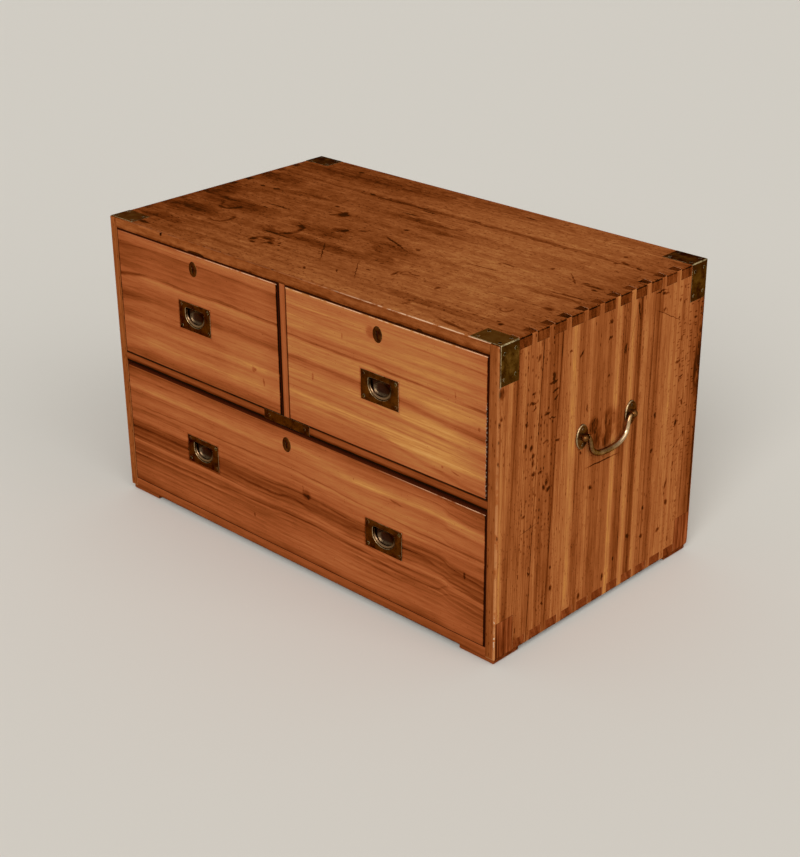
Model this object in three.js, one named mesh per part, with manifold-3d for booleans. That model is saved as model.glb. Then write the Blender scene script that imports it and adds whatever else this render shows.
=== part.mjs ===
// Campaign chest: a dovetailed camphor wood case with three drawers and let-in brass fittings.
// Lengths are in millimetres. x runs across the front, y from front to back and z up from the floor.

import * as THREE from 'three';
import { mergeVertices } from 'three/addons/utils/BufferGeometryUtils.js';
import Module from 'manifold-3d';

const wasm = await Module();
wasm.setup();

// Case
const caseWidth = 910;
const caseDepth = 522;
const caseHeight = 531;
const topThickness = 18;
const bottomThickness = 18;
const sideThickness = 18;
const arrisRadius = 3;
const wornCornerRadius = 13;

// Through dovetails of the case
const tailCount = 13;
const pinWidth = 12;
const endPinWidth = 5;
const tailFlare = 3;

// Rail, dust board, upright and back
const lowerOpeningShare = 0.454;
const railThickness = 18;
const railDepth = 62;
const dustThickness = 10;
const tongueThickness = 4;
const tongueLength = 6;
const housingDepth = 6;
const stoppedLength = 14;
const uprightThickness = 16;
const uprightOffset = -7;
const uprightHousing = 4;
const backThickness = 10;
const backRebate = 9;
const backLap = 8;

// Feet
const footHeight = 10;
const footWidth = 72;
const footDepth = 60;
const footInset = 4;
const footChamfer = 2.5;

// Drawers
const frontThickness = 20;
const frontRecess = 0.5;
const upperDrawerGap = 4;
const lowerDrawerGap = 8;
const leftGap = 1;
const rightGap = 4;
const drawerBackGap = 6;
const drawerSideThickness = 10;
const drawerSideDrop = 4;
const drawerBackThickness = 9;
const drawerBackDrop = 6;
const drawerBottomThickness = 6;
const drawerBottomRise = 8;
const grooveDepth = 4;
const lapThickness = 5;
const drawerTailCount = 4;
const drawerPinWidth = 9;
const drawerEndPinWidth = 7;
const drawerTailFlare = 2.5;

// Corner straps and the wood let in where the lower ones were lost
const strapWidth = 41;
const strapInset = 3;
const strapDrop = 65;
const strapReach = 60;
const strapThickness = 1.8;
const strapProud = 0.4;
const patchThickness = 2;
const patchHeight = 66;

// Brass plate on the rail
const railPlateLength = 110;
const railPlateThickness = 1.5;

// Flush handles
const plateWidth = 82;
const plateHeight = 51;
const plateThickness = 2.2;
const plateCornerRadius = 1.5;
const dishHalfWidth = 25;
const dishTop = 16;
const dishCornerRadius = 5;
const dishCurveDrop = 20;
const dishCurveCentre = 3;
const dishLedgeDepth = 5.4;
const dishWall = 2;
const bowlHalfWidth = 18;
const bowlHalfHeight = 12.5;
const bowlDepth = 5;
const bailWidth = 4.6;
const bailThickness = 4;
const bailSetBack = 0.4;
const bailRounding = 0.9;
const bailPivotHeight = 10;
const bailPinRadius = 1.2;
const bailPinReach = 1.4;
const bailGap = 0.6;

// Handle and keyhole places on a drawer front, and how far each was set off by hand from its drawer's middle
const handleHeightShare = 0.488;
const upperHandleShift = -6;
const upperLeftHandleRise = 2;
const upperRightHandleRise = 0.5;
const lowerLeftHandleShift = -5.5;
const lowerLeftHandleRise = 3.5;
const lowerRightHandleShift = -1.5;
const lowerRightHandleRise = -3;
const keyholeDrop = 26;
const upperLeftKeyShift = -3.5;
const upperRightKeyShift = -9;
const lowerKeyShift = -3;

// Keyhole plates
const keyplateWidth = 20;
const keyplateHeight = 27;
const keyplateThickness = 1.2;
const keyRadius = 2.6;
const keySlotWidth = 2.6;
const keySlotLength = 8;
const keyRise = 2.5;

// Drawer locks
const lockWidth = 52;
const lockHeight = 38;
const lockDepth = 10.5;
const lockPlateThickness = 1.5;
const lockPlateMargin = 5;
const boltWidth = 22;
const boltThickness = 3.5;
const boltLength = 22;
const boltTravel = 12;
const boltSetBack = 4;
const mortiseMargin = 1;

// Carrying handles
const carryHeight = 320;
const carryShift = 3;
const carrySpan = 126;
const carryDrop = 41.5;
const carryStandoff = 7.5;
const gripRadius = 5;
const neckRadius = 3.5;
const carryPinRadius = 2.4;
const ballRadius = 6.5;
const postRadius = 3.8;
const roseWidth = 30;
const roseHeight = 43;
const roseThickness = 2.6;
const roseBevel = 1.2;

// Fits
const clearance = 0.3;
const overrun = 2;

// Facets
const arrisSteps = 1;
const dishSteps = 5;
const cornerSteps = 2;
const roundSides = 12;
const bowlSides = 16;
const roseSteps = 5;
const tubeSides = 10;
const tubeRings = 28;

// The bail's centre line from a pin to the middle of the grip, as shares of its half span and drop
const carryPathShares = [
  [1, 0], [0.97, 0.01], [0.93, 0.08], [0.88, 0.21], [0.845, 0.43], [0.78, 0.65], [0.64, 0.82], [0.44, 0.94],
  [0.2, 0.99], [0, 1],
];

// Half of a rose's outline from its upper point, as shares of its half width and half height
const roseCurveShares = [[0.5, 0.98], [1, 0.54], [1, 0]];

const camphorTop = { color: 0x8f5730, roughness: 0.48, metalness: 0 };
const camphorSide = { color: 0xa4683a, roughness: 0.5, metalness: 0 };
const camphorFront = { color: 0xb27440, roughness: 0.42, metalness: 0 };
const camphorRail = { color: 0x99592f, roughness: 0.46, metalness: 0 };
const secondaryWood = { color: 0xb98f5c, roughness: 0.7, metalness: 0 };
const inlaidWood = { color: 0x80502a, roughness: 0.55, metalness: 0 };
const footWood = { color: 0x8a4a28, roughness: 0.6, metalness: 0 };
const agedBrass = { color: 0x5e4a1e, roughness: 0.4, metalness: 0.9 };
const handledBrass = { color: 0x9a7a46, roughness: 0.32, metalness: 0.95 };
const lockIron = { color: 0x55504a, roughness: 0.5, metalness: 0.8 };

// Derived places
const halfWidth = caseWidth / 2;
const front = -caseDepth / 2;
const back = caseDepth / 2;
const openingHalf = halfWidth - sideThickness;
const railBottom = bottomThickness + caseHeight * lowerOpeningShare;
const railTop = railBottom + railThickness;
const openingTop = caseHeight - topThickness;
const backFace = back - backThickness;
const uprightLeft = uprightOffset - uprightThickness / 2;
const uprightRight = uprightOffset + uprightThickness / 2;
const drawerLength = caseDepth - backThickness - frontRecess - drawerBackGap;

// Solids

function solidOf(geometry) {
  const bare = geometry.clone();
  bare.deleteAttribute('normal');
  bare.deleteAttribute('uv');
  const merged = mergeVertices(bare);
  return new wasm.Manifold(new wasm.Mesh({
    numProp: 3,
    vertProperties: merged.attributes.position.array,
    triVerts: new Uint32Array(merged.index.array),
  }));
}

function block(x0, x1, y0, y1, z0, z1) {
  const box = new THREE.BoxGeometry(x1 - x0, y1 - y0, z1 - z0);
  return solidOf(box.translate((x0 + x1) / 2, (y0 + y1) / 2, (z0 + z1) / 2));
}

function polygon(points) {
  return new THREE.Shape(points.map(([across, along]) => new THREE.Vector2(across, along)));
}

function roundedRectangle(a0, a1, b0, b1, radius) {
  const shape = new THREE.Shape();
  shape.moveTo(a0 + radius, b0);
  shape.lineTo(a1 - radius, b0);
  shape.absarc(a1 - radius, b0 + radius, radius, -Math.PI / 2, 0, false);
  shape.lineTo(a1, b1 - radius);
  shape.absarc(a1 - radius, b1 - radius, radius, 0, Math.PI / 2, false);
  shape.lineTo(a0 + radius, b1);
  shape.absarc(a0 + radius, b1 - radius, radius, Math.PI / 2, Math.PI, false);
  shape.lineTo(a0, b0 + radius);
  shape.absarc(a0 + radius, b0 + radius, radius, Math.PI, 1.5 * Math.PI, false);
  return shape;
}

function extrusion(shape, length, curveSegments) {
  return new THREE.ExtrudeGeometry(shape, { depth: length, bevelEnabled: false, curveSegments });
}

// An outline drawn in y and z
function alongX(shape, x0, x1, curveSegments = arrisSteps) {
  const turn = new THREE.Matrix4().makeBasis(
    new THREE.Vector3(0, 1, 0),
    new THREE.Vector3(0, 0, 1),
    new THREE.Vector3(1, 0, 0),
  );
  return solidOf(extrusion(shape, x1 - x0, curveSegments).applyMatrix4(turn).translate(x0, 0, 0));
}

// An outline drawn in x and z
function alongY(shape, y0, y1, curveSegments = arrisSteps) {
  return solidOf(extrusion(shape, y1 - y0, curveSegments).rotateX(Math.PI / 2).translate(0, y1, 0));
}

// An outline drawn in x and y
function alongZ(shape, z0, z1, curveSegments = arrisSteps) {
  return solidOf(extrusion(shape, z1 - z0, curveSegments).translate(0, 0, z0));
}

function union(solids) {
  return solids.reduce((whole, next) => whole.add(next));
}

function cut(solid, cutters) {
  return cutters.reduce((left, cutter) => left.subtract(cutter), solid);
}

function mirrorX(solid) {
  return solid.mirror([1, 0, 0]);
}

function addPiece(group, name, solid, finish, origin = [0, 0, 0]) {
  const mesh = solid.getMesh();
  const indexed = new THREE.BufferGeometry();
  indexed.setAttribute('position', new THREE.BufferAttribute(mesh.vertProperties, mesh.numProp));
  indexed.setIndex(new THREE.BufferAttribute(mesh.triVerts, 1));
  const geometry = indexed.toNonIndexed();
  geometry.translate(-origin[0], -origin[1], -origin[2]);
  geometry.computeVertexNormals();
  const piece = new THREE.Mesh(geometry, new THREE.MeshStandardMaterial(finish));
  piece.name = name;
  piece.position.set(...origin);
  group.add(piece);
}

// Dovetails. A row has its tails' middles, measured from the start of the joint.

function tailRow(span, count, pin, endPin, flare, length) {
  const pitch = (span - 2 * endPin + pin) / count;
  const wide = pitch - pin;
  const middles = Array.from({ length: count }, (_, index) => endPin + wide / 2 + index * pitch);
  return { middles, wide, flare, length };
}

function tailHalf(row, inward) {
  return row.wide / 2 - row.flare * inward / row.length;
}

// The edge of a tailed board, from the start of the joint to its end
function tailEdge(row, start, root, end) {
  const inward = Math.abs(end - root);
  return row.middles.flatMap((middle) => [
    [root, start + middle - tailHalf(row, inward)],
    [end, start + middle - tailHalf(row, 0)],
    [end, start + middle + tailHalf(row, 0)],
    [root, start + middle + tailHalf(row, inward)],
  ]);
}

// The spaces that a row of tails needs, each a little wider than its tail
function tailSpaces(row, start, root, end, past = overrun) {
  const step = Math.sign(end - root);
  const near = root - step * overrun;
  const far = end + step * past;
  return row.middles.map((middle) => {
    const nearHalf = tailHalf(row, row.length + overrun) + clearance;
    const farHalf = tailHalf(row, -past) + clearance;
    return polygon([
      [near, start + middle - nearHalf],
      [far, start + middle - farHalf],
      [far, start + middle + farHalf],
      [near, start + middle + nearHalf],
    ]);
  });
}

const caseTails = tailRow(caseDepth, tailCount, pinWidth, endPinWidth, tailFlare, sideThickness);

// The case's outside, with its arrises rounded and its lower back corners worn away

const roundBox = alongX(roundedRectangle(front, back, 0, caseHeight, arrisRadius), -halfWidth, halfWidth)
  .intersect(alongY(roundedRectangle(-halfWidth, halfWidth, 0, caseHeight, arrisRadius), front, back))
  .intersect(alongZ(roundedRectangle(-halfWidth, halfWidth, front, back, arrisRadius), 0, caseHeight));

function wornCorner() {
  const shape = new THREE.Shape();
  shape.moveTo(back + overrun, -overrun);
  shape.lineTo(back + overrun, wornCornerRadius);
  shape.lineTo(back, wornCornerRadius);
  shape.absarc(back - wornCornerRadius, wornCornerRadius, wornCornerRadius, 0, -Math.PI / 2, true);
  shape.lineTo(back - wornCornerRadius, -overrun);
  const right = alongX(shape, openingHalf - clearance, halfWidth + overrun, cornerSteps);
  return right.add(mirrorX(right));
}

const caseEnvelope = roundBox.subtract(wornCorner());

// Straps and patches at the corners of the case

const cornerEnds = [
  { end: 'front', near: front + strapInset, far: front + strapInset + strapWidth },
  { end: 'back', near: back - strapInset - strapWidth, far: back - strapInset },
];

function strapProfile() {
  const outside = halfWidth + strapProud;
  const above = caseHeight + strapProud;
  const shape = new THREE.Shape();
  shape.moveTo(halfWidth - strapReach, above);
  shape.lineTo(halfWidth - strapReach, above - strapThickness);
  shape.lineTo(outside - strapThickness, above - strapThickness);
  shape.lineTo(outside - strapThickness, caseHeight - strapDrop);
  shape.lineTo(outside, caseHeight - strapDrop);
  shape.lineTo(outside, above - arrisRadius);
  shape.absarc(outside - arrisRadius, above - arrisRadius, arrisRadius, 0, Math.PI / 2, false);
  return shape;
}

function strapSeat(near, far) {
  const inner = halfWidth + strapProud - strapThickness - clearance;
  const under = caseHeight + strapProud - strapThickness - clearance;
  const side = block(inner, halfWidth + overrun, near - clearance, far + clearance,
    caseHeight - strapDrop - clearance, caseHeight + overrun);
  const top = block(halfWidth - strapReach - clearance, halfWidth + overrun, near - clearance, far + clearance,
    under, caseHeight + overrun);
  return side.add(top);
}

function patchSeat(near, far) {
  return block(halfWidth - patchThickness - clearance, halfWidth + overrun, near - clearance, far + clearance,
    -overrun, patchHeight + clearance);
}

const rightSeats = union(cornerEnds.map(({ near, far }) => strapSeat(near, far).add(patchSeat(near, far))));
const cornerSeats = rightSeats.add(mirrorX(rightSeats));

// The space that the back boards fill, open behind
const backRebates = block(-openingHalf - backRebate, openingHalf + backRebate, backFace - clearance, back + overrun,
  bottomThickness - backRebate, openingTop + backRebate);

// The upright's housings, above it and below it
const uprightHousings = block(uprightLeft - clearance, uprightRight + clearance,
  front + stoppedLength - clearance, backFace,
  railTop - uprightHousing - clearance, openingTop + uprightHousing + clearance);

// Drawer openings and the drawers' sizes

function drawerPlan(left, right, floor, roof, gap) {
  const width = right - left - leftGap - rightGap;
  return {
    width,
    height: roof - floor - gap - clearance,
    middle: left + leftGap + width / 2,
    floor: floor + clearance,
    roof,
    gap,
  };
}

const upperLeftPlan = drawerPlan(-openingHalf, uprightLeft, railTop, openingTop, upperDrawerGap);
const upperRightPlan = drawerPlan(uprightRight, openingHalf, railTop, openingTop, upperDrawerGap);
const lowerPlan = drawerPlan(-openingHalf, openingHalf, bottomThickness, railBottom, lowerDrawerGap);

// The long drawer's fittings nearly line up with the short drawers' handles and with the upright
const drawers = [
  {
    name: 'upper_left_drawer',
    plan: upperLeftPlan,
    handleAt: [[upperHandleShift, upperLeftHandleRise]],
    keyAt: upperLeftKeyShift,
  },
  {
    name: 'upper_right_drawer',
    plan: upperRightPlan,
    handleAt: [[upperHandleShift, upperRightHandleRise]],
    keyAt: upperRightKeyShift,
  },
  {
    name: 'lower_drawer',
    plan: lowerPlan,
    handleAt: [
      [upperLeftPlan.middle - lowerPlan.middle + lowerLeftHandleShift, lowerLeftHandleRise],
      [upperRightPlan.middle - lowerPlan.middle + lowerRightHandleShift, lowerRightHandleRise],
    ],
    keyAt: uprightOffset - lowerPlan.middle + lowerKeyShift,
  },
];

// Where each lock's bolt rises past the gap above its drawer, a mortise is cut in the board there
const boltFront = frontThickness - boltSetBack - boltThickness;

function boltMortise({ plan, keyAt }) {
  const depth = boltTravel - plan.gap + mortiseMargin;
  const x = plan.middle + keyAt;
  const y = front + frontRecess + boltFront;
  return block(x - boltWidth / 2 - mortiseMargin, x + boltWidth / 2 + mortiseMargin,
    y - mortiseMargin, y + boltThickness + mortiseMargin, plan.roof - overrun, plan.roof + depth);
}

const boltMortises = drawers.map(boltMortise);

// Case boards

const caseGroup = new THREE.Group();
caseGroup.position.z = footHeight;

function tailedBoard(z0, z1) {
  const root = openingHalf - clearance;
  const right = tailEdge(caseTails, front, root, halfWidth);
  const left = right.map(([x, y]) => [-x, y]).reverse();
  return alongZ(polygon([[-root, front], [root, front], ...right, [root, back], [-root, back], ...left]), z0, z1)
    .intersect(caseEnvelope);
}

function addTopBoard() {
  const board = cut(tailedBoard(openingTop, caseHeight), [cornerSeats, backRebates, uprightHousings, ...boltMortises]);
  addPiece(caseGroup, 'top_board', board, camphorTop, [0, 0, openingTop]);
}

function addBottomBoard() {
  const board = cut(tailedBoard(0, bottomThickness), [cornerSeats, backRebates]);
  addPiece(caseGroup, 'bottom_board', board, camphorSide, [0, 0, 0]);
}

// The grooves that hold the ends of the rail and the dust board
function sideHousings() {
  const past = openingHalf + housingDepth + clearance;
  const rail = block(openingHalf - overrun, past, front + stoppedLength - clearance, front + railDepth + clearance,
    railBottom - clearance, railTop + clearance);
  const dust = block(openingHalf - overrun, past, front + railDepth - overrun, backFace,
    railTop - dustThickness - clearance, railTop + clearance);
  return rail.add(dust);
}

function addSides() {
  const spaces = tailSpaces(caseTails, front, openingHalf, halfWidth);
  const topSpaces = spaces.map((space) => alongZ(space, openingTop - clearance, caseHeight + overrun));
  const bottomSpaces = spaces.map((space) => alongZ(space, -overrun, bottomThickness + clearance));
  const blank = block(openingHalf, halfWidth, front, back, 0, caseHeight).intersect(caseEnvelope);
  const right = cut(blank, [...topSpaces, ...bottomSpaces, cornerSeats, backRebates, sideHousings()]);
  addPiece(caseGroup, 'right_side', right, camphorSide, [openingHalf, 0, 0]);
  addPiece(caseGroup, 'left_side', mirrorX(right), camphorSide, [-openingHalf, 0, 0]);
}

function addRail() {
  const half = openingHalf - clearance;
  const housed = openingHalf + housingDepth;
  const shape = polygon([
    [-half, front],
    [half, front],
    [half, front + stoppedLength],
    [housed, front + stoppedLength],
    [housed, front + railDepth],
    [-housed, front + railDepth],
    [-housed, front + stoppedLength],
    [-half, front + stoppedLength],
  ]);
  const tongueMiddle = railTop - dustThickness / 2;
  const groove = block(-housed - overrun, housed + overrun,
    front + railDepth - tongueLength - clearance, front + railDepth + overrun,
    tongueMiddle - tongueThickness / 2 - clearance, tongueMiddle + tongueThickness / 2 + clearance);
  const plateSeat = block(uprightOffset - railPlateLength / 2 - clearance, uprightOffset + railPlateLength / 2 + clearance,
    front - overrun, front + railPlateThickness + clearance, railBottom - overrun, railTop + overrun);
  const rail = cut(alongZ(shape, railBottom, railTop), [groove, plateSeat, uprightHousings, ...boltMortises]);
  addPiece(caseGroup, 'middle_rail', rail, camphorRail, [0, front, railBottom]);

  const plate = block(uprightOffset - railPlateLength / 2, uprightOffset + railPlateLength / 2,
    front, front + railPlateThickness, railBottom, railTop);
  addPiece(caseGroup, 'rail_plate', plate, agedBrass, [uprightOffset, front, railBottom]);
}

function addDustBoard() {
  const start = front + railDepth + clearance;
  const end = backFace - clearance;
  const under = railTop - dustThickness;
  const middle = railTop - dustThickness / 2;
  const shape = polygon([
    [start, under],
    [end, under],
    [end, railTop],
    [start, railTop],
    [start, middle + tongueThickness / 2],
    [start - tongueLength, middle + tongueThickness / 2],
    [start - tongueLength, middle - tongueThickness / 2],
    [start, middle - tongueThickness / 2],
  ]);
  const housed = openingHalf + housingDepth;
  const board = alongX(shape, -housed, housed).subtract(uprightHousings);
  addPiece(caseGroup, 'dust_board', board, secondaryWood, [0, start, under]);
}

function addUpright() {
  const end = backFace - clearance;
  const stop = front + stoppedLength;
  const shape = polygon([
    [front, railTop + clearance],
    [stop, railTop + clearance],
    [stop, railTop - uprightHousing],
    [end, railTop - uprightHousing],
    [end, openingTop + uprightHousing],
    [stop, openingTop + uprightHousing],
    [stop, openingTop - clearance],
    [front, openingTop - clearance],
  ]);
  const upright = alongX(shape, uprightLeft, uprightRight);
  addPiece(caseGroup, 'upright', upright, camphorRail, [uprightOffset, front, railTop]);
}

// Two back boards, lapped where they meet and held in the rebates
function addBackBoards() {
  const half = openingHalf + backRebate - clearance;
  const low = bottomThickness - backRebate + clearance;
  const high = openingTop + backRebate - clearance;
  const seam = (low + high) / 2;
  const middle = back - backThickness / 2;
  const lower = polygon([
    [backFace, low],
    [back, low],
    [back, seam + backLap],
    [middle, seam + backLap],
    [middle, seam],
    [backFace, seam],
  ]);
  const upper = polygon([
    [backFace, seam + clearance],
    [middle - clearance, seam + clearance],
    [middle - clearance, seam + backLap + clearance],
    [back, seam + backLap + clearance],
    [back, high],
    [backFace, high],
  ]);
  addPiece(caseGroup, 'back_board_lower', alongX(lower, -half, half), secondaryWood, [0, backFace, low]);
  addPiece(caseGroup, 'back_board_upper', alongX(upper, -half, half), secondaryWood, [0, backFace, seam]);
}

function addCorners() {
  for (const { end, near, far } of cornerEnds) {
    const strap = alongY(strapProfile(), near, far, cornerSteps);
    const y = (near + far) / 2;
    addPiece(caseGroup, `strap_${end}_right`, strap, agedBrass, [halfWidth, y, caseHeight]);
    addPiece(caseGroup, `strap_${end}_left`, mirrorX(strap), agedBrass, [-halfWidth, y, caseHeight]);

    const patch = block(halfWidth - patchThickness, halfWidth, near, far, 0, patchHeight).intersect(caseEnvelope);
    addPiece(caseGroup, `corner_patch_${end}_right`, patch, inlaidWood, [halfWidth, y, 0]);
    addPiece(caseGroup, `corner_patch_${end}_left`, mirrorX(patch), inlaidWood, [-halfWidth, y, 0]);
  }
}

// Feet stand on the floor, with their lower edges chamfered

function footOutline(start, end) {
  return polygon([
    [start + footChamfer, 0],
    [end - footChamfer, 0],
    [end, footChamfer],
    [end, footHeight - clearance],
    [start, footHeight - clearance],
    [start, footChamfer],
  ]);
}

function addFeet(group) {
  const outer = halfWidth - footInset;
  const rows = [
    { end: 'front', start: front + footInset },
    { end: 'back', start: back - footInset - footDepth },
  ];
  for (const { end, start } of rows) {
    const foot = alongX(footOutline(start, start + footDepth), outer - footWidth, outer)
      .intersect(alongY(footOutline(outer - footWidth, outer), start, start + footDepth));
    const y = start + footDepth / 2;
    addPiece(group, `foot_${end}_right`, foot, footWood, [outer - footWidth / 2, y, 0]);
    addPiece(group, `foot_${end}_left`, mirrorX(foot), footWood, [footWidth / 2 - outer, y, 0]);
  }
}

// Flush handle, drawn with its plate's middle at the origin and its face at y = 0

function dishOutline(grow) {
  const half = dishHalfWidth + grow;
  const radius = dishCornerRadius + grow;
  const top = dishTop + grow;
  const shape = new THREE.Shape();
  shape.moveTo(-half, dishCurveCentre);
  shape.absellipse(0, dishCurveCentre, half, dishCurveDrop + grow, Math.PI, 2 * Math.PI, false);
  shape.lineTo(half, top - radius);
  shape.absarc(half - radius, top - radius, radius, 0, Math.PI / 2, false);
  shape.lineTo(radius - half, top);
  shape.absarc(radius - half, top - radius, radius, Math.PI / 2, Math.PI, false);
  return shape;
}

const bailTurn = bailSetBack + bailThickness / 2;
const bailOuter = dishHalfWidth - bailGap;

function pin(radius, x0, x1, y, z) {
  const cylinder = new THREE.CylinderGeometry(radius, radius, x1 - x0, roundSides);
  return solidOf(cylinder.rotateZ(Math.PI / 2).translate((x0 + x1) / 2, y, z));
}

function handlePlate() {
  const outline = roundedRectangle(-plateWidth / 2, plateWidth / 2, -plateHeight / 2, plateHeight / 2, plateCornerRadius);
  const cupDepth = dishLedgeDepth + bowlDepth + dishWall;
  const bowl = new THREE.SphereGeometry(1, bowlSides, bowlSides / 2);
  bowl.rotateX(Math.PI / 2);
  bowl.scale(bowlHalfWidth, bowlDepth, bowlHalfHeight);
  bowl.translate(0, dishLedgeDepth, dishTop / 2 - dishCurveDrop / 2 + dishCurveCentre / 2);
  const pinHole = pin(bailPinRadius + clearance, -bailOuter - bailPinReach - clearance,
    bailOuter + bailPinReach + clearance, bailTurn, bailPivotHeight);
  return alongY(outline, 0, plateThickness)
    .add(alongY(dishOutline(dishWall), 0, cupDepth, dishSteps))
    .subtract(alongY(dishOutline(0), -overrun, dishLedgeDepth, dishSteps))
    .subtract(solidOf(bowl))
    .subtract(pinHole);
}

function handleSeat(x, z) {
  const plate = block(-plateWidth / 2 - clearance, plateWidth / 2 + clearance, -overrun, plateThickness + clearance,
    -plateHeight / 2 - clearance, plateHeight / 2 + clearance);
  const cupDepth = dishLedgeDepth + bowlDepth + dishWall + clearance;
  return plate.add(alongY(dishOutline(dishWall + clearance), 0, cupDepth, dishSteps)).translate([x, 0, z]);
}

// The folding bail of a flush handle: a U of half-round bar on two pins
function flushBail() {
  const innerHalf = bailOuter - bailWidth;
  const outerDrop = dishCurveDrop - bailGap;
  const shape = new THREE.Shape();
  shape.moveTo(-bailOuter, bailPivotHeight);
  shape.lineTo(-bailOuter, dishCurveCentre);
  shape.absellipse(0, dishCurveCentre, bailOuter, outerDrop, Math.PI, 2 * Math.PI, false);
  shape.lineTo(bailOuter, bailPivotHeight);
  shape.absarc(bailOuter - bailWidth / 2, bailPivotHeight, bailWidth / 2, 0, Math.PI, false);
  shape.lineTo(innerHalf, dishCurveCentre);
  shape.absellipse(0, dishCurveCentre, innerHalf, outerDrop - bailWidth, 2 * Math.PI, Math.PI, true);
  shape.lineTo(-innerHalf, bailPivotHeight);
  shape.absarc(bailWidth / 2 - bailOuter, bailPivotHeight, bailWidth / 2, 0, Math.PI, false);
  const bar = new THREE.ExtrudeGeometry(shape, {
    depth: bailThickness - 2 * bailRounding,
    bevelEnabled: true,
    bevelThickness: bailRounding,
    bevelSize: bailRounding,
    bevelOffset: -bailRounding,
    bevelSegments: 1,
    curveSegments: dishSteps,
  });
  bar.rotateX(Math.PI / 2).translate(0, bailSetBack + bailThickness - bailRounding, 0);
  const left = pin(bailPinRadius, -bailOuter - bailPinReach, bailWidth / 2 - bailOuter, bailTurn, bailPivotHeight);
  return solidOf(bar).add(left).add(mirrorX(left));
}

// Keyhole plate and lock, drawn with the key's middle at x = 0

function keyhole(grow) {
  const radius = keyRadius + grow;
  const half = keySlotWidth / 2 + grow;
  const rise = Math.sqrt(radius ** 2 - half ** 2);
  const angle = Math.atan2(-rise, half);
  const shape = new THREE.Shape();
  shape.moveTo(half, keyRise - keySlotLength - grow);
  shape.lineTo(half, keyRise - rise);
  shape.absarc(0, keyRise, radius, angle, Math.PI - angle, false);
  shape.lineTo(-half, keyRise - keySlotLength - grow);
  return shape;
}

function ovalOutline(width, height) {
  const shape = new THREE.Shape();
  shape.absellipse(0, 0, width / 2, height / 2, 0, 2 * Math.PI, false);
  return shape;
}

function keyplate() {
  return alongY(ovalOutline(keyplateWidth, keyplateHeight), 0, keyplateThickness, roundSides)
    .subtract(alongY(keyhole(0), -overrun, keyplateThickness + overrun, cornerSteps));
}

function keySeat(x, z) {
  const oval = ovalOutline(keyplateWidth + 2 * clearance, keyplateHeight + 2 * clearance);
  return alongY(oval, -overrun, keyplateThickness + clearance, roundSides)
    .add(alongY(keyhole(clearance), -overrun, frontThickness - lockDepth, cornerSteps))
    .translate([x, 0, z]);
}

// The lock's box, with its plates on the top edge and on the back of the drawer front
function lockBlocks(height, grow, past) {
  const half = lockWidth / 2 + grow;
  const wide = lockWidth / 2 + lockPlateMargin + grow;
  const near = frontThickness - lockDepth - grow;
  const far = frontThickness + past;
  const top = height + past;
  const box = block(-half, half, near, far, height - lockHeight - grow, top);
  const edgePlate = block(-wide, wide, near, far, height - lockPlateThickness - grow, top);
  const backPlate = block(-wide, wide, frontThickness - lockPlateThickness - grow, far,
    height - lockHeight - lockPlateMargin - grow, top);
  return union([box, edgePlate, backPlate]);
}

function lockCase(height) {
  const channel = block(-boltWidth / 2 - clearance, boltWidth / 2 + clearance,
    boltFront - clearance, boltFront + boltThickness + clearance,
    height - boltLength - 2 * clearance, height + overrun);
  const key = alongY(keyhole(0), frontThickness - lockDepth - overrun, boltFront + boltThickness, cornerSteps)
    .translate([0, 0, height - keyholeDrop]);
  return cut(lockBlocks(height, 0, 0), [channel, key]);
}

// A drawer, drawn with the middle of its front's lower edge at the origin

function drawerSide(width, height) {
  const sideHeight = height - drawerSideDrop;
  const backBase = drawerBottomRise + drawerBottomThickness + clearance;
  const backTop = sideHeight - drawerBackDrop;
  const frontRow = tailRow(sideHeight, drawerTailCount, drawerPinWidth, drawerEndPinWidth, drawerTailFlare,
    frontThickness - lapThickness);
  const backRow = tailRow(backTop - backBase, drawerTailCount, drawerPinWidth, drawerEndPinWidth, drawerTailFlare,
    drawerBackThickness);
  const root = drawerLength - drawerBackThickness - clearance;
  const outline = polygon([
    ...tailEdge(frontRow, 0, frontThickness + clearance, lapThickness + clearance).reverse(),
    [frontThickness + clearance, 0],
    [drawerLength, 0],
    [drawerLength, backBase - clearance],
    [root, backBase - clearance],
    ...tailEdge(backRow, backBase, root, drawerLength),
    [root, backTop + clearance],
    [drawerLength, backTop + clearance],
    [drawerLength, sideHeight],
    [frontThickness + clearance, sideHeight],
  ]);
  const inner = width / 2 - drawerSideThickness;
  const groove = block(inner - overrun, inner + grooveDepth + clearance,
    frontThickness - overrun, drawerLength + overrun,
    drawerBottomRise - clearance, drawerBottomRise + drawerBottomThickness + clearance);
  const nearSpaces = tailSpaces(frontRow, 0, frontThickness, lapThickness, 0);
  const farSpaces = tailSpaces(backRow, backBase, drawerLength - drawerBackThickness, drawerLength);
  return {
    side: alongX(outline, inner, width / 2).subtract(groove),
    frontSpaces: nearSpaces.map((space) => alongX(space, inner - clearance, width / 2 + overrun)),
    backSpaces: farSpaces.map((space) => alongX(space, inner - clearance, width / 2 + overrun)),
    backBase,
    backTop,
  };
}

function drawerBottom(width) {
  const inner = width / 2 - drawerSideThickness;
  const start = frontThickness - grooveDepth;
  const shape = polygon([
    [clearance - inner, start],
    [inner - clearance, start],
    [inner - clearance, frontThickness + clearance],
    [inner + grooveDepth, frontThickness + clearance],
    [inner + grooveDepth, drawerLength],
    [-inner - grooveDepth, drawerLength],
    [-inner - grooveDepth, frontThickness + clearance],
    [clearance - inner, frontThickness + clearance],
  ]);
  return alongZ(shape, drawerBottomRise, drawerBottomRise + drawerBottomThickness);
}

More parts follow.
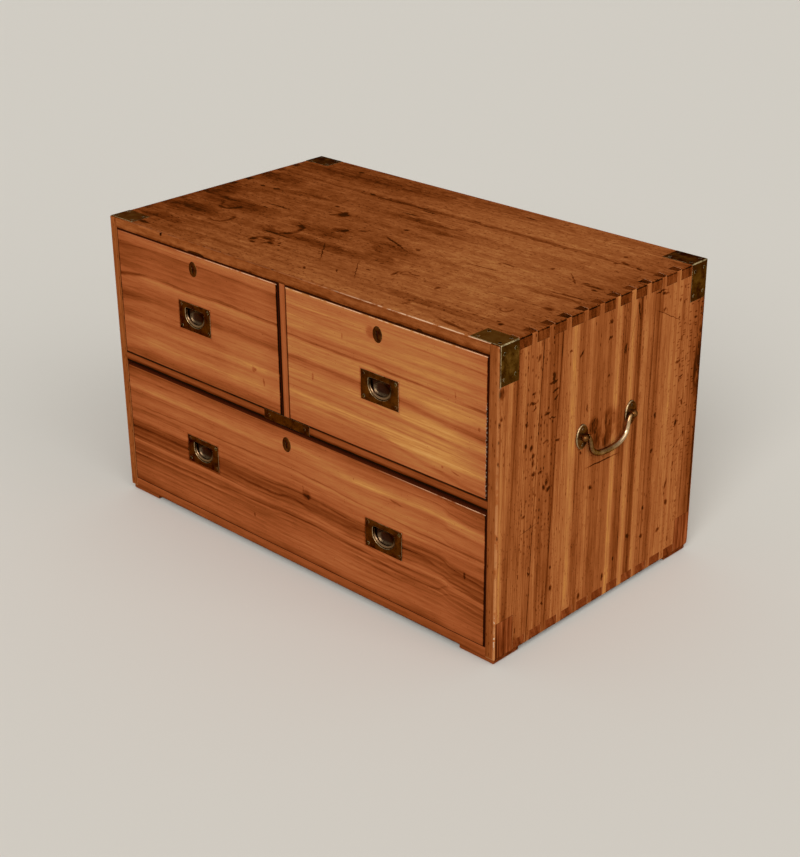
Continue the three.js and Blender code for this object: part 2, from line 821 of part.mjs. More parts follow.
function addDrawer({ name, plan, handleAt, keyAt }) {
  const { width, height, middle, floor } = plan;
  const group = new THREE.Group();
  group.position.set(middle, front + frontRecess, floor);
  const { side, frontSpaces, backSpaces, backBase, backTop } = drawerSide(width, height);
  const inner = width / 2 - drawerSideThickness;
  const keyHeight = height - keyholeDrop;
  const handleHeight = height * handleHeightShare;

  const groove = block(-inner, inner, frontThickness - grooveDepth - clearance, frontThickness + overrun,
    drawerBottomRise - clearance, drawerBottomRise + drawerBottomThickness + clearance);
  const blank = block(-width / 2, width / 2, 0, frontThickness, 0, height);
  const cutters = [
    ...frontSpaces,
    ...frontSpaces.map(mirrorX),
    groove,
    lockBlocks(height, clearance, overrun).translate([keyAt, 0, 0]),
    keySeat(keyAt, keyHeight),
    ...handleAt.map(([x, rise]) => handleSeat(x, handleHeight + rise)),
  ];
  addPiece(group, `${name}_front`, cut(blank, cutters), camphorFront);
  addPiece(group, `${name}_right_side`, side, secondaryWood, [inner, frontThickness, 0]);
  addPiece(group, `${name}_left_side`, mirrorX(side), secondaryWood, [-inner, frontThickness, 0]);

  const rear = cut(block(-width / 2, width / 2, drawerLength - drawerBackThickness, drawerLength, backBase, backTop),
    [...backSpaces, ...backSpaces.map(mirrorX)]);
  addPiece(group, `${name}_back`, rear, secondaryWood, [0, drawerLength, backBase]);
  addPiece(group, `${name}_bottom`, drawerBottom(width), secondaryWood, [0, frontThickness, drawerBottomRise]);

  addPiece(group, `${name}_lock`, lockCase(height).translate([keyAt, 0, 0]), lockIron, [keyAt, frontThickness, height]);
  const bolt = block(-boltWidth / 2, boltWidth / 2, boltFront, boltFront + boltThickness,
    height - boltLength - clearance, height - clearance);
  addPiece(group, `${name}_bolt`, bolt.translate([keyAt, 0, 0]), handledBrass, [keyAt, boltFront, height - boltLength]);
  addPiece(group, `${name}_keyplate`, keyplate().translate([keyAt, 0, keyHeight]), agedBrass, [keyAt, 0, keyHeight]);

  const ends = handleAt.length > 1 ? ['_left', '_right'] : [''];
  handleAt.forEach(([x, rise], index) => {
    const seat = [x, 0, handleHeight + rise];
    addPiece(group, `${name}_handle_plate${ends[index]}`, handlePlate().translate(seat), agedBrass, seat);
    addPiece(group, `${name}_bail${ends[index]}`, flushBail().translate(seat), handledBrass,
      [x, bailTurn, seat[2] + bailPivotHeight]);
  });
  caseGroup.add(group);
}

// Carrying handle, drawn on a wall at x = 0 with its turning line at the origin's height

function taperedTube(curve, radiusAt, rings, sides) {
  const positions = [];
  const index = [];
  const across = new THREE.Vector3(1, 0, 0);
  for (let ring = 0; ring <= rings; ring += 1) {
    const share = ring / rings;
    const centre = curve.getPointAt(share);
    const other = new THREE.Vector3().crossVectors(curve.getTangentAt(share), across).normalize();
    for (let side = 0; side < sides; side += 1) {
      const angle = 2 * Math.PI * side / sides;
      const point = centre.clone()
        .addScaledVector(across, radiusAt(share) * Math.cos(angle))
        .addScaledVector(other, radiusAt(share) * Math.sin(angle));
      positions.push(point.x, point.y, point.z);
    }
  }
  for (let ring = 0; ring < rings; ring += 1) {
    for (let side = 0; side < sides; side += 1) {
      const a = ring * sides + side;
      const b = ring * sides + (side + 1) % sides;
      index.push(a, b, b + sides, a, b + sides, a + sides);
    }
  }
  const last = rings * sides;
  for (let side = 1; side < sides - 1; side += 1) {
    index.push(0, side + 1, side);
    index.push(last, last + side, last + side + 1);
  }
  const geometry = new THREE.BufferGeometry();
  geometry.setAttribute('position', new THREE.Float32BufferAttribute(positions, 3));
  geometry.setIndex(index);
  return geometry;
}

function crossPin(radius, y0, y1) {
  const cylinder = new THREE.CylinderGeometry(radius, radius, y1 - y0, roundSides);
  return solidOf(cylinder.translate(carryStandoff, (y0 + y1) / 2, 0));
}

// The rose of the carrying handle at y = carrySpan / 2; its ball takes the bail's pin from the inside
function rose() {
  const [high, shoulder, widest] = roseCurveShares.map(([across, along]) => [
    across * roseWidth / 2,
    along * roseHeight / 2,
  ]);
  const shape = new THREE.Shape();
  shape.moveTo(0, roseHeight / 2);
  shape.bezierCurveTo(-high[0], high[1], -shoulder[0], shoulder[1], -widest[0], widest[1]);
  shape.bezierCurveTo(-shoulder[0], -shoulder[1], -high[0], -high[1], 0, -roseHeight / 2);
  shape.bezierCurveTo(high[0], -high[1], shoulder[0], -shoulder[1], widest[0], widest[1]);
  shape.bezierCurveTo(shoulder[0], shoulder[1], high[0], high[1], 0, roseHeight / 2);
  const plate = new THREE.ExtrudeGeometry(shape, {
    depth: roseThickness - roseBevel,
    bevelEnabled: true,
    bevelThickness: roseBevel,
    bevelSize: roseBevel,
    bevelOffset: -roseBevel,
    bevelSegments: 2,
    curveSegments: roseSteps,
  });
  const turn = new THREE.Matrix4().makeBasis(
    new THREE.Vector3(0, 1, 0),
    new THREE.Vector3(0, 0, 1),
    new THREE.Vector3(1, 0, 0),
  );
  plate.applyMatrix4(turn).translate(clearance, 0, 0);
  const flat = block(clearance, carryStandoff, -roseWidth, roseWidth, -roseHeight, roseHeight);
  const post = new THREE.CylinderGeometry(postRadius, postRadius, carryStandoff - clearance, roundSides);
  post.rotateZ(Math.PI / 2).translate((carryStandoff + clearance) / 2, 0, 0);
  const ball = new THREE.SphereGeometry(ballRadius, roundSides, roundSides / 2);
  ball.translate(carryStandoff, 0, 0);
  const middle = carrySpan / 2;
  return solidOf(plate).intersect(flat).add(solidOf(post)).add(solidOf(ball)).translate([0, middle, 0])
    .subtract(crossPin(carryPinRadius + clearance, middle - ballRadius - overrun, middle + ballRadius / 3));
}

function carryBail() {
  const neck = carrySpan / 2 - ballRadius - clearance;
  const half = carryPathShares.map(([across, down]) => [across * neck, -down * carryDrop]);
  const other = half.slice(0, -1).reverse().map(([y, z]) => [-y, z]);
  const points = [...half, ...other].map(([y, z]) => new THREE.Vector3(carryStandoff, y, z));
  const curve = new THREE.CatmullRomCurve3(points, false, 'centripetal');
  const radiusAt = (share) => neckRadius + (gripRadius - neckRadius) * Math.sin(Math.PI * share) ** 2;
  const pinTip = carrySpan / 2 + ballRadius / 3 - clearance;
  const right = crossPin(carryPinRadius, neck - carryPinRadius, pinTip);
  return solidOf(taperedTube(curve, radiusAt, tubeRings, tubeSides))
    .add(right)
    .add(crossPin(carryPinRadius, -pinTip, carryPinRadius - neck));
}

function addCarryHandle(side, sign) {
  const group = new THREE.Group();
  group.position.set(sign * halfWidth, carryShift, carryHeight);
  const face = (solid) => (sign > 0 ? solid : mirrorX(solid));
  const places = [['back', face(rose()), carrySpan / 2], ['front', face(rose().mirror([0, 1, 0])), -carrySpan / 2]];
  for (const [end, solid, y] of places) {
    addPiece(group, `${side}_handle_rose_${end}`, solid, handledBrass, [0, y, 0]);
  }
  addPiece(group, `${side}_handle_bail`, face(carryBail()), handledBrass, [sign * carryStandoff, 0, 0]);
  caseGroup.add(group);
}

const chest = new THREE.Group();
addTopBoard();
addBottomBoard();
addSides();
addRail();
addDustBoard();
addUpright();
addBackBoards();
addCorners();
drawers.forEach(addDrawer);
addCarryHandle('right', 1);
addCarryHandle('left', -1);
chest.add(caseGroup);
addFeet(chest);

export default chest;
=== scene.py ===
# Campaign chest: camphor wood case, three drawers, let-in brass and two carrying handles.
# Everything is in metres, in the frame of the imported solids.
import math

import bpy
import bmesh
from mathutils import Matrix, Vector


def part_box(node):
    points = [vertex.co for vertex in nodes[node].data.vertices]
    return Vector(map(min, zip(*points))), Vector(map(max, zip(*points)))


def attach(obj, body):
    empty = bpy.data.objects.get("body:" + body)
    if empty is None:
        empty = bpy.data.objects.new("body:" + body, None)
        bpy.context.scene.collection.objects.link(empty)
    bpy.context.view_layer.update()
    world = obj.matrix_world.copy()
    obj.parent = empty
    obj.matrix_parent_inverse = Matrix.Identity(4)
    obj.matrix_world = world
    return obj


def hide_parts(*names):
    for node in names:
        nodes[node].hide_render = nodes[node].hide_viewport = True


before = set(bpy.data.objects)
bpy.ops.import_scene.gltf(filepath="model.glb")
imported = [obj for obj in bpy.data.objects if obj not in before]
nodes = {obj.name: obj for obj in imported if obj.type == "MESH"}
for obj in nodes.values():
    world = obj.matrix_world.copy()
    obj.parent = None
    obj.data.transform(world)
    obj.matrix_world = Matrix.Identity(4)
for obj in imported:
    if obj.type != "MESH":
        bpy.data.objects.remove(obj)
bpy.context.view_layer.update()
scene = bpy.context.scene
mm = 0.001

# Places that several pieces share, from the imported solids

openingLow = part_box("bottom_board")[1].z
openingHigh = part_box("top_board")[0].z
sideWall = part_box("right_side")  # its low x is the opening's wall, its high x the case's outer face
caseFront = sideWall[0].y
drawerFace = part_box("lower_drawer_front")[0].y


def tone(code):  # a hex colour as the linear values that sockets take
    parts = [int(code[i:i + 2], 16) / 255 for i in (0, 2, 4)]
    linear = [p / 12.92 if p <= 0.04045 else ((p + 0.055) / 1.055) ** 2.4 for p in parts]
    return (*linear, 1.0)


# Camera and lights

cameraLook = {
    "place": (1.8802, -1.9463, 1.4391),
    "yaw": -0.767,
    "pitch": 0.4357,
    "roll": -0.0081,
    "focalPixels": 1664.17,
    "picture": (800, 857),
    "sensor": 36.0,
    "clipEnd": 500.0,
}


def addCamera(look):
    yaw, pitch, roll = look["yaw"], look["pitch"], look["roll"]
    ahead = Vector((math.sin(yaw) * math.cos(pitch), math.cos(yaw) * math.cos(pitch), -math.sin(pitch)))
    level = Vector((math.cos(yaw), -math.sin(yaw), 0))
    upward = level.cross(ahead)
    right = math.cos(roll) * level + math.sin(roll) * upward
    top = math.cos(roll) * upward - math.sin(roll) * level
    data = bpy.data.cameras.new("camera")
    data.sensor_fit = "VERTICAL"
    data.sensor_height = look["sensor"]
    data.lens = look["focalPixels"] * look["sensor"] / look["picture"][1]
    data.clip_end = look["clipEnd"]
    camera = bpy.data.objects.new("camera", data)
    turn = Matrix((right, top, -ahead)).transposed()
    camera.matrix_world = Matrix.Translation(Vector(look["place"])) @ turn.to_4x4()
    scene.collection.objects.link(camera)
    scene.camera = camera


lampLooks = [
    {"name": "keyLamp", "from": (0.40, -0.75, 0.55), "width": 32, "strength": 2.0},
    {"name": "fillLamp", "from": (0.87, -0.13, 0.47), "width": 60, "strength": 1.1},
]


def addLamp(look):
    data = bpy.data.lights.new(look["name"], "SUN")
    data.angle = math.radians(look["width"])
    data.energy = look["strength"]
    lamp = bpy.data.objects.new(look["name"], data)
    lamp.rotation_euler = Vector(look["from"]).to_track_quat("Z", "Y").to_euler()
    scene.collection.objects.link(lamp)


# Shader sums: a socket adds its own Math nodes when Python does sums with it


class Socket:
    def __init__(self, finish, socket):
        self.finish = finish
        self.socket = socket

    def maths(self, operation, *values):
        return self.finish.node("Math", {"operation": operation}, dict(enumerate(values)))

    def __add__(self, other):
        return self.maths("ADD", self, other)

    def __sub__(self, other):
        return self.maths("SUBTRACT", self, other)

    def __rsub__(self, other):
        return self.maths("SUBTRACT", other, self)

    def __mul__(self, other):
        return self.maths("MULTIPLY", self, other)

    def __abs__(self):
        return self.maths("ABSOLUTE", self)

    __radd__ = __add__
    __rmul__ = __mul__


class Finish:
    def __init__(self, name):
        self.material = bpy.data.materials.new(name)
        self.material.use_nodes = True
        self.tree = self.material.node_tree
        self.tree.nodes.clear()

    def node(self, kind, settings=None, inputs=None, output=0):
        made = self.tree.nodes.new("ShaderNode" + kind)
        for key, value in (settings or {}).items():
            if key == "stops":
                fillStops(made.color_ramp.elements, value)
            elif key == "line":
                fillLine(made.mapping, value)
            else:
                setattr(made, key, value)
        for key, value in (inputs or {}).items():
            if isinstance(value, Socket):
                self.tree.links.new(value.socket, made.inputs[key])
            else:
                made.inputs[key].default_value = value
        return Socket(self, made.outputs[output]) if len(made.outputs) else made

    def split(self, vector):
        made = self.node("SeparateXYZ", inputs={0: vector}).socket.node
        return [Socket(self, socket) for socket in made.outputs]

    def join(self, x, y, z=0.0):
        return self.node("CombineXYZ", inputs={0: x, 1: y, 2: z})

    def noise(self, vector, scale=1.0, detail=2.0, rough=0.5):
        return self.node("TexNoise", inputs={
            "Vector": vector, "Scale": scale, "Detail": detail, "Roughness": rough})

    def faceNoise(self, across, up, detail=2.0, rough=0.5):  # over a board's face, by scaled coordinates
        return self.noise(self.join(across, up), 1.0, detail, rough)

    def lineNoise(self, value, scale, detail=2.0, rough=0.5):
        return self.node("TexNoise", {"noise_dimensions": "1D"}, {
            "W": value, "Scale": scale, "Detail": detail, "Roughness": rough})

    def fade(self, value, start, end, low=0.0, high=1.0):
        return self.node("MapRange", {"interpolation_type": "SMOOTHSTEP"}, {
            "Value": value, "From Min": start, "From Max": end, "To Min": low, "To Max": high})

    def curve(self, value, points):  # a curve through (place in millimetres, level) points
        start, end = points[0][0], points[-1][0]
        share = self.node("MapRange", {}, {"Value": value, "From Min": start * mm, "From Max": end * mm})
        line = [((place - start) / (end - start), level) for place, level in points]
        return self.node("FloatCurve", {"line": line}, {"Value": share})

    def ramp(self, value, stops):
        return self.node("ValToRGB", {"stops": stops}, {"Fac": value})

    def mix(self, share, first, second, blend="MIX"):
        return self.node("Mix", {"data_type": "RGBA", "blend_type": blend}, {
            0: share, 6: first, 7: second}, output=2)

    def most(self, values):  # the values are made one by one, so that few wait in the shader at once
        whole = None
        for value in values:
            whole = value if whole is None else whole.maths("MAXIMUM", whole, value)
        return whole

    def surface(self, values):
        shader = self.node("BsdfPrincipled", inputs=values)
        self.node("OutputMaterial", inputs={"Surface": shader})
        return self.material


def fillStops(elements, stops):
    while len(elements) < len(stops):
        elements.new(0.5)
    for element, (place, colour) in zip(elements, stops):
        element.position = place
        element.color = tone(colour)


def fillLine(mapping, points):
    curve = mapping.curves[0]
    while len(curve.points) < len(points):
        curve.points.new(0.5, 0.5)
    for point, (across, up) in zip(curve.points, points):
        point.location = (across, up)
    mapping.update()


# Marks on a board: each is an ellipse on the board's face, turned and softened


def face(finish, across, up):  # a place on a board's face; its 1 lets a dot product shift it too
    return finish.join(across, up, 1.0)


def ownAxes(finish, plane, look):  # a place seen from a mark, as shares of the mark's half sizes
    across, up, length, height = (part * mm for part in look[:4])
    turn = math.radians(look[4])
    c, s = math.cos(turn), math.sin(turn)
    rows = ((c / length, s / length, -(across * c + up * s) / length),
            (-s / height, c / height, (across * s - up * c) / height))
    return [finish.node("VectorMath", {"operation": "DOT_PRODUCT"}, {0: plane, 1: row}, output="Value")
            for row in rows]


def squareOut(along, upward):  # the square of how far out a place lies, where 1 is the ellipse's rim
    return along.finish.node("Math", {"operation": "MULTIPLY_ADD"}, {0: along, 1: along, 2: upward * upward})


def blot(finish, plane, look):
    return squareOut(*ownAxes(finish, plane, look))


def blots(finish, plane, looks, outer=1.0, inner=0.35):
    return finish.most(finish.fade(blot(finish, plane, look), outer ** 2, inner ** 2) for look in looks)


def ringMarks(finish, plane, looks, width=0.16):  # each an arc that faces the way of its turn
    def arcs():
        for look in looks:
            along, upward = ownAxes(finish, plane, look)
            out = squareOut(along, upward)
            distance = abs(out.maths("SQRT", out) - 1.0)
            yield finish.fade(distance, width, width * 0.2) * finish.fade(along, -0.35, 0.25)
    return finish.most(arcs())


def wander(finish, along, points):  # how high a line of the grain lies, through (along, up) points
    low = min(up for _, up in points) - 10
    high = max(up for _, up in points) + 10
    shares = [(place, (up - low) / (high - low)) for place, up in points]
    return finish.curve(along, shares) * ((high - low) * mm) + low * mm


def streak(finish, along, across, look):  # a dark line of late wood
    above, below, depth, points = look
    distance = across - wander(finish, along, points)
    return finish.fade(distance, above * mm, 0.0) * finish.fade(distance, -below * mm, 0.0) * depth


# Wood. A board is drawn as one tone, from 0 (burnt dark) to 1 (palest), which a ramp turns into a colour.
# "grain" is the way the fibres run, "gain" how strongly the figure shows, and each of the "shadows" is
# an axis, where a gap's shade starts and where it is full

woodTones = {
    "camphor": [(0.00, "150902"), (0.06, "3a1704"), (0.14, "592408"), (0.26, "6e3212"), (0.37, "80401c"),
                (0.49, "944d27"), (0.63, "a35d33"), (0.73, "aa6b3a"), (0.83, "b87c41"), (1.00, "cb9657")],
    "dry": [(0.00, "140802"), (0.06, "391803"), (0.14, "572508"), (0.26, "6d3411"), (0.37, "7e411b"),
            (0.49, "8f4f26"), (0.57, "99582c"), (0.63, "a16133"), (0.73, "aa6c39"), (0.83, "b77b3b"),
            (1.00, "cb944f")],
    "pale": [(0.00, "20120a"), (0.20, "623e20"), (0.50, "9c7046"), (0.70, "b98e62"), (1.00, "d8b48a")],
}

splintered = "cbb79c"

wideBoard = {"tones": "dry", "gapShade": "421507"}
narrowBoard = {"waveAlong": 3.0, "waveAcross": 20.0, "broad": 90.0, "fine": 420.0, "tones": "camphor",
               "gapShade": "421507", "shadows": []}
lining = {"waveAlong": 2.0, "waveAcross": 6.0, "level": 0.60, "gain": 0.9, "endDrop": 0.2, "worn": "c9a878",
          "wornShare": 0.3, "rough": 0.62, "tones": "pale", "gapShade": "421507", "shadows": []}

woodLooks = {
    "camphorTop": {
        **wideBoard, "grain": "x", "seed": 3.1, "wave": 0.030, "waveAlong": 2.6, "waveAcross": 7.0,
        "broad": 34.0, "fine": 210.0, "gain": 0.85, "endDrop": 0.15, "worn": "dcb490", "wornShare": 0.75,
        "rough": 0.56,
    },
    "camphorSide": {
        **wideBoard, "grain": "z", "seed": 7.7, "wave": 0.004, "waveAlong": 1.2, "waveAcross": 5.0,
        "broad": 46.0, "fine": 260.0, "gain": 1.30, "endDrop": 0.34, "worn": "b98252", "wornShare": 0.3,
        "rough": 0.50,
    },
    "camphorRail": {
        **narrowBoard, "grain": "x", "seed": 5.2, "wave": 0.010, "level": 0.33, "gain": 0.85, "endDrop": 0.15,
        "worn": "a8683c", "wornShare": 0.15, "rough": 0.48,
        "shadows": [("z", 0.2790, 0.2690), ("z", 0.2730, 0.2692), ("z", 0.2840, 0.2864)],
    },
    "camphorBottom": {
        **narrowBoard, "grain": "x", "seed": 6.3, "wave": 0.010, "level": 0.36, "gain": 0.95, "endDrop": 0.08,
        "worn": "8a4a22", "wornShare": 0.3, "rough": 0.5, "shadows": [("z", 0.0130, 0.0100)],
    },
    "camphorUpright": {
        **narrowBoard, "grain": "z", "seed": 9.4, "wave": 0.006, "level": 0.48, "gain": 0.75, "endDrop": 0.15,
        "worn": "b57c4c", "wornShare": 0.2, "rough": 0.47,
        "shadows": [("x", -0.0112, -0.0135), ("x", -0.0118, -0.0128), ("x", -0.0005, 0.0008)],
    },
    "secondaryAlongX": {**lining, "grain": "x", "seed": 12.0, "wave": 0.020, "broad": 40.0, "fine": 240.0},
    "secondaryAlongY": {**lining, "grain": "y", "seed": 14.0, "wave": 0.014, "broad": 44.0, "fine": 260.0},
    "inlaidWood": {
        **narrowBoard, "grain": "z", "seed": 17.0, "wave": 0.006, "waveAlong": 4.0, "broad": 120.0,
        "fine": 500.0, "level": 0.30, "gain": 1.9, "endDrop": 0.1, "worn": "1c0e06", "wornShare": 0.8,
        "rough": 0.5,
    },
    "footWood": {
        **narrowBoard, "grain": "x", "seed": 21.0, "wave": 0.008, "fine": 500.0, "level": 0.34, "gain": 0.8,
        "endDrop": 0.15, "worn": "9c5a30", "wornShare": 0.35, "rough": 0.58,
    },
}

frontLook = {
    "grain": "xUpright", "wave": 0.022, "waveAlong": 2.4, "waveAcross": 5.0, "broad": 42.0, "fine": 230.0,
    "gain": 0.80, "endDrop": 0.2, "worn": "e0b490", "wornShare": 0.8, "rough": 0.44, "tones": "camphor",
    "gapShade": "4e1c0a",
    "depths": {"sheen": 0.07, "knots": 0.22, "ends": 0.08, "scars": 0.24, "pits": 0.20, "side": 0.30,
               "halo": 0.16, "edgeShade": 0.52},
}


def woodParts(finish, look):
    place = finish.node("TexCoord", output="Object")
    x, y, z = finish.split(place)
    nx, ny, nz = finish.split(finish.node("TexCoord", output="Normal"))
    along, across, through, alongNormal = {
        "x": (x, y, z, nx), "xUpright": (x, z, y, nx), "z": (z, y, x, nz), "y": (y, z, x, ny)}[look["grain"]]
    seed = look["seed"]
    wave = finish.noise(finish.join(
        along * look["waveAlong"], across * look["waveAcross"] + seed, through * look["waveAcross"]))
    ring = across + through * 0.35 + (wave - 0.5) * look["wave"]
    broad = finish.lineNoise(ring + seed, look["broad"], 2.0, 0.55)
    fine = finish.lineNoise(ring + seed * 2, look["fine"], 2.0, 0.6)
    fibre = finish.noise(finish.join(along * 9 + seed, across * 520, through * 520), 1.0, 2.0, 0.6)
    cloud = finish.noise(finish.join(along * 9 + seed, across * 22, through * 22), 1.0, 3.0, 0.6)
    wisp = finish.noise(finish.join(along * 24, across * 210 + seed, through * 210), 1.0, 3.0, 0.6)
    figure = broad * 0.42 + fine * 0.24 + fibre * 0.14 + cloud * 0.22 + wisp * 0.26 - 0.64
    return {
        "place": place, "x": x, "y": y, "z": z, "nx": nx, "ny": ny, "nz": nz,
        "along": along, "across": across, "through": through,
        "figure": figure * look["gain"], "fibre": fibre, "cloud": cloud,
        "ends": finish.fade(abs(alongNormal), 0.55, 0.8),
    }


def arrisWear(finish, parts, start=0.22, full=0.46):  # how rounded an edge is at this place
    nx, ny, nz = parts["nx"], parts["ny"], parts["nz"]
    both = finish.most(abs(one * other) for one, other in ((nx, ny), (ny, nz), (nx, nz)))
    return finish.fade(both, start, full)


# Painted shade in the gaps around the drawers, standing for the shade of the case's opening. Each pair is
# where it is absent and where it is full: past the opening's walls, past its top and bottom, and behind the
# case's front

gapShadeLook = {
    "beside": (1.4 * mm, 0.4 * mm), "above": (1.2 * mm, 0.2 * mm), "near": (1.2 * mm, 1.8 * mm),
    "far": (23 * mm, 15 * mm), "strength": 0.94,
}


def openingShade(finish, x, y, z):
    absent, full = gapShadeLook["above"]
    inside = finish.fade(abs(x), *(sideWall[0].x + size for size in gapShadeLook["beside"]))
    inside = inside * finish.fade(z, openingHigh + absent, openingHigh + full)
    inside = inside * finish.fade(z, openingLow - absent, openingLow - full)
    shallow = finish.fade(y, *(caseFront + size for size in gapShadeLook["near"]))
    shallow = shallow * finish.fade(y, *(caseFront + size for size in gapShadeLook["far"]))
    return inside * shallow * gapShadeLook["strength"]


def woodSurface(finish, look, parts, shade, edgeWearAndHighlight=None, bare=None):
    x, y, z, place = parts["x"], parts["y"], parts["z"], parts["place"]
    along, across, through = parts["along"], parts["across"], parts["through"]
    speckle = finish.noise(place, 700.0, 2.0, 0.6)
    pores = finish.noise(finish.join(along * 60, across * 1300, through * 1300), 1.0, 1.0)
    shade = shade - finish.fade(pores, 0.60, 0.75) * 0.10
    drop = look["endDrop"]
    shade = shade - parts["ends"] * finish.fade(speckle, 0.75, 0.3, drop * 0.6, drop * 1.2)
    colour = finish.ramp(shade, woodTones[look["tones"]])
    rubbedAndLit = finish.noise(place, 55.0, 3.0, 0.6)
    edgeWearAndHighlight = arrisWear(finish, parts) if edgeWearAndHighlight is None else edgeWearAndHighlight
    # pale colour on rounded edges: wear, and a painted highlight where a caller passes one
    worn = edgeWearAndHighlight * finish.fade(rubbedAndLit, 0.34, 0.54) * look["wornShare"]
    colour = finish.mix(worn, colour, tone(look["worn"]))
    if bare is not None:  # splintered down to pale fibres
        colour = finish.mix(bare, colour, tone(splintered))
    # painted shade: inside the opening the boards take a dark colour towards the gaps
    colour = finish.mix(openingShade(finish, x, y, z), colour, tone(look["gapShade"]))
    height = parts["fibre"] * 0.35 + rubbedAndLit * 0.25
    bump = finish.node("Bump", {}, {"Strength": 0.22, "Distance": 0.0006, "Height": height})
    rough = look["rough"] + (parts["cloud"] - 0.5) * 0.2 + parts["ends"] * 0.12
    return finish.surface({
        "Base Color": colour, "Roughness": rough, "Normal": bump, "Specular IOR Level": 0.0})


def plainWood(name):
    look = woodLooks[name]
    finish = Finish(name)
    parts = woodParts(finish, look)
    shade = parts["figure"] + look["level"]
    for key, start, end in look["shadows"]:  # darker towards a gap
        shade = shade - finish.fade(parts[key], start, end) * 0.36
    return woodSurface(finish, look, parts, shade)


def specks(finish, across, up, size, share):  # scattered small pits, with a share of the cells left clean
    cell = {"Vector": finish.join(across, up), "Scale": 1.0}
    settings = {"voronoi_dimensions": "2D"}
    distance = finish.node("TexVoronoi", settings, cell, output="Distance")
    pick = finish.split(finish.node("TexVoronoi", settings, cell, output="Color"))[0]
    return finish.fade(distance, size, size * 0.4) * finish.fade(pick, share, share + 0.04)


# Marks are drawn in millimetres: (across, up, half length, half height, turn in degrees). "depths" is
# how much each kind changes the board's tone

topMarks = {
    "depths": {"pale": 0.08, "smoke": 0.26, "back": 0.10, "rings": 0.28, "scars": 0.38, "pits": 0.30,
               "freckles": 0.24, "chips": 0.5},
    "levels": [  # (x, tone): partly patina, partly a painted fall of light that leaves the left darker
        (-455, 0.3), (-400, 0.33), (-330, 0.37), (-200, 0.4), (-70, 0.41), (80, 0.47), (220, 0.54),
        (330, 0.54), (410, 0.46), (455, 0.36),
    ],
    "smoke": [  # dark smoky stains
        (-250, 205, 190, 26, 2), (-160, 210, 50, 16, 12), (-410, 105, 80, 20, 0), (-110, 142, 110, 9, 0),
        (200, 146, 180, 6, 0), (-20, 87, 85, 11, 3), (40, 62, 45, 12, 0), (-290, 58, 80, 12, 10),
        (-330, -62, 100, 26, 0), (-385, -130, 75, 34, 0), (-370, -200, 60, 13, 0), (-86, -70, 42, 20, 0),
        (-88, -45, 12, 20, 0), (30, -75, 26, 12, -35), (65, -100, 45, 18, -10), (-50, -118, 110, 16, 0),
        (260, -200, 130, 10, 0), (236, -215, 10, 14, 0), (395, -45, 60, 6, 6), (-430, -20, 40, 40, 0),
        (-185, -118, 24, 16, -20), (50, -55, 60, 22, -8), (-120, -66, 70, 18, 0),
    ],
    "pale": [  # paler patches: rubbed wood and a painted sheen
        (270, -34, 110, 14, 2), (150, 20, 120, 22, 5), (-130, -205, 240, 26, 0), (130, 110, 200, 20, 0),
        (290, -120, 80, 22, 0), (40, 180, 190, 30, 0), (-20, -236, 240, 24, 0), (180, 0, 160, 30, 0),
        (400, -65, 70, 24, 4),
    ],
    "rings": [  # arcs, each facing the way of its turn
        (-300, -133, 21, 22, -35), (-172, -100, 30, 29, 15), (-342, -71, 23, 22, -90),
        (363, -138, 12, 10, -60), (141, -126, 8, 7, 200), (141, -126, 8, 7, 20), (-152, -173, 21, 20, 95),
        (-152, -172, 16, 14, 40),
    ],
    "scars": [
        (-150, -158, 16, 8, 4), (-171, -174, 7, 12, 10), (-160, -186, 8, 4, 0), (-131, -171, 10, 5, -20),
        (-118, -162, 4, 4, 0), (-110, -170, 4, 3, 0), (-150, 19, 15, 13, 0), (-163, 10, 10, 4, 20),
        (-155, 31, 6, 6, 0), (222, 10, 4, 3, 0), (248, 14, 5, 3, -30), (384, 30, 7, 3, 20),
        (412, 14, 6, 4, 0), (372, 148, 12, 4, -20), (405, 140, 10, 3, -30), (360, 138, 6, 3, 0),
        (398, -193, 5, 5, 0), (388, -186, 4, 3, 0), (345, -190, 6, 2, 10), (53, -193, 8, 2, -40),
        (85, -155, 5, 3, 0), (78, -30, 6, 4, -20), (-60, -20, 10, 3, 40), (-85, -40, 6, 10, 0),
        (158, 163, 3, 4, 0), (50, 150, 14, 2, 0), (-45, 134, 18, 2.4, 0), (2, -217, 8, 2.4, -35),
        (-355, 48, 8, 5, 20), (-390, 45, 6, 4, 0), (-193, 48, 7, 5, 0), (-145, -88, 4, 16, 10),
        (-160, -131, 40, 3, 0), (-35, -141, 47, 1.3, -49), (70, -166, 47, 1.2, -50),
        (25, -29, 48, 2.2, -21), (352, 37, 29, 1.2, -43), (366, 24, 10, 2, -43), (340, -99, 75, 1.3, 2),
        (410, -97, 12, 6, 0), (345, -242, 44, 4.4, -9), (-382, -242, 17, 5.5, 0), (225, -143, 4, 7, 20),
        (130, -140, 4, 10, 15), (158, -122, 10, 3, 10), (300, 49, 5, 4.5, 0), (111, 227, 14, 2.4, 0),
        (-313, 229, 8, 4, 0), (352, 174, 5, 4, 0), (177, 240, 6, 3, 40), (-198, 143, 10, 4, -20),
        (-68, 103, 28, 2.2, 0), (-9, 33, 6, 5, 0), (235, 16, 18, 3, 0), (402, 25, 22, 4, 0),
        (212, -21, 36, 1.8, 4), (394, -32, 40, 3, 4), (-270, -22, 34, 2.4, 0), (-286, -41, 8, 3, 0),
    ],
    "frontScars": [  # on the front edge: (x, z, ...)
        (-220, 524, 24, 3.4, 0), (-312, 538, 4, 3.6, 60), (298, 523.5, 7, 3.6, 0),
    ],
}


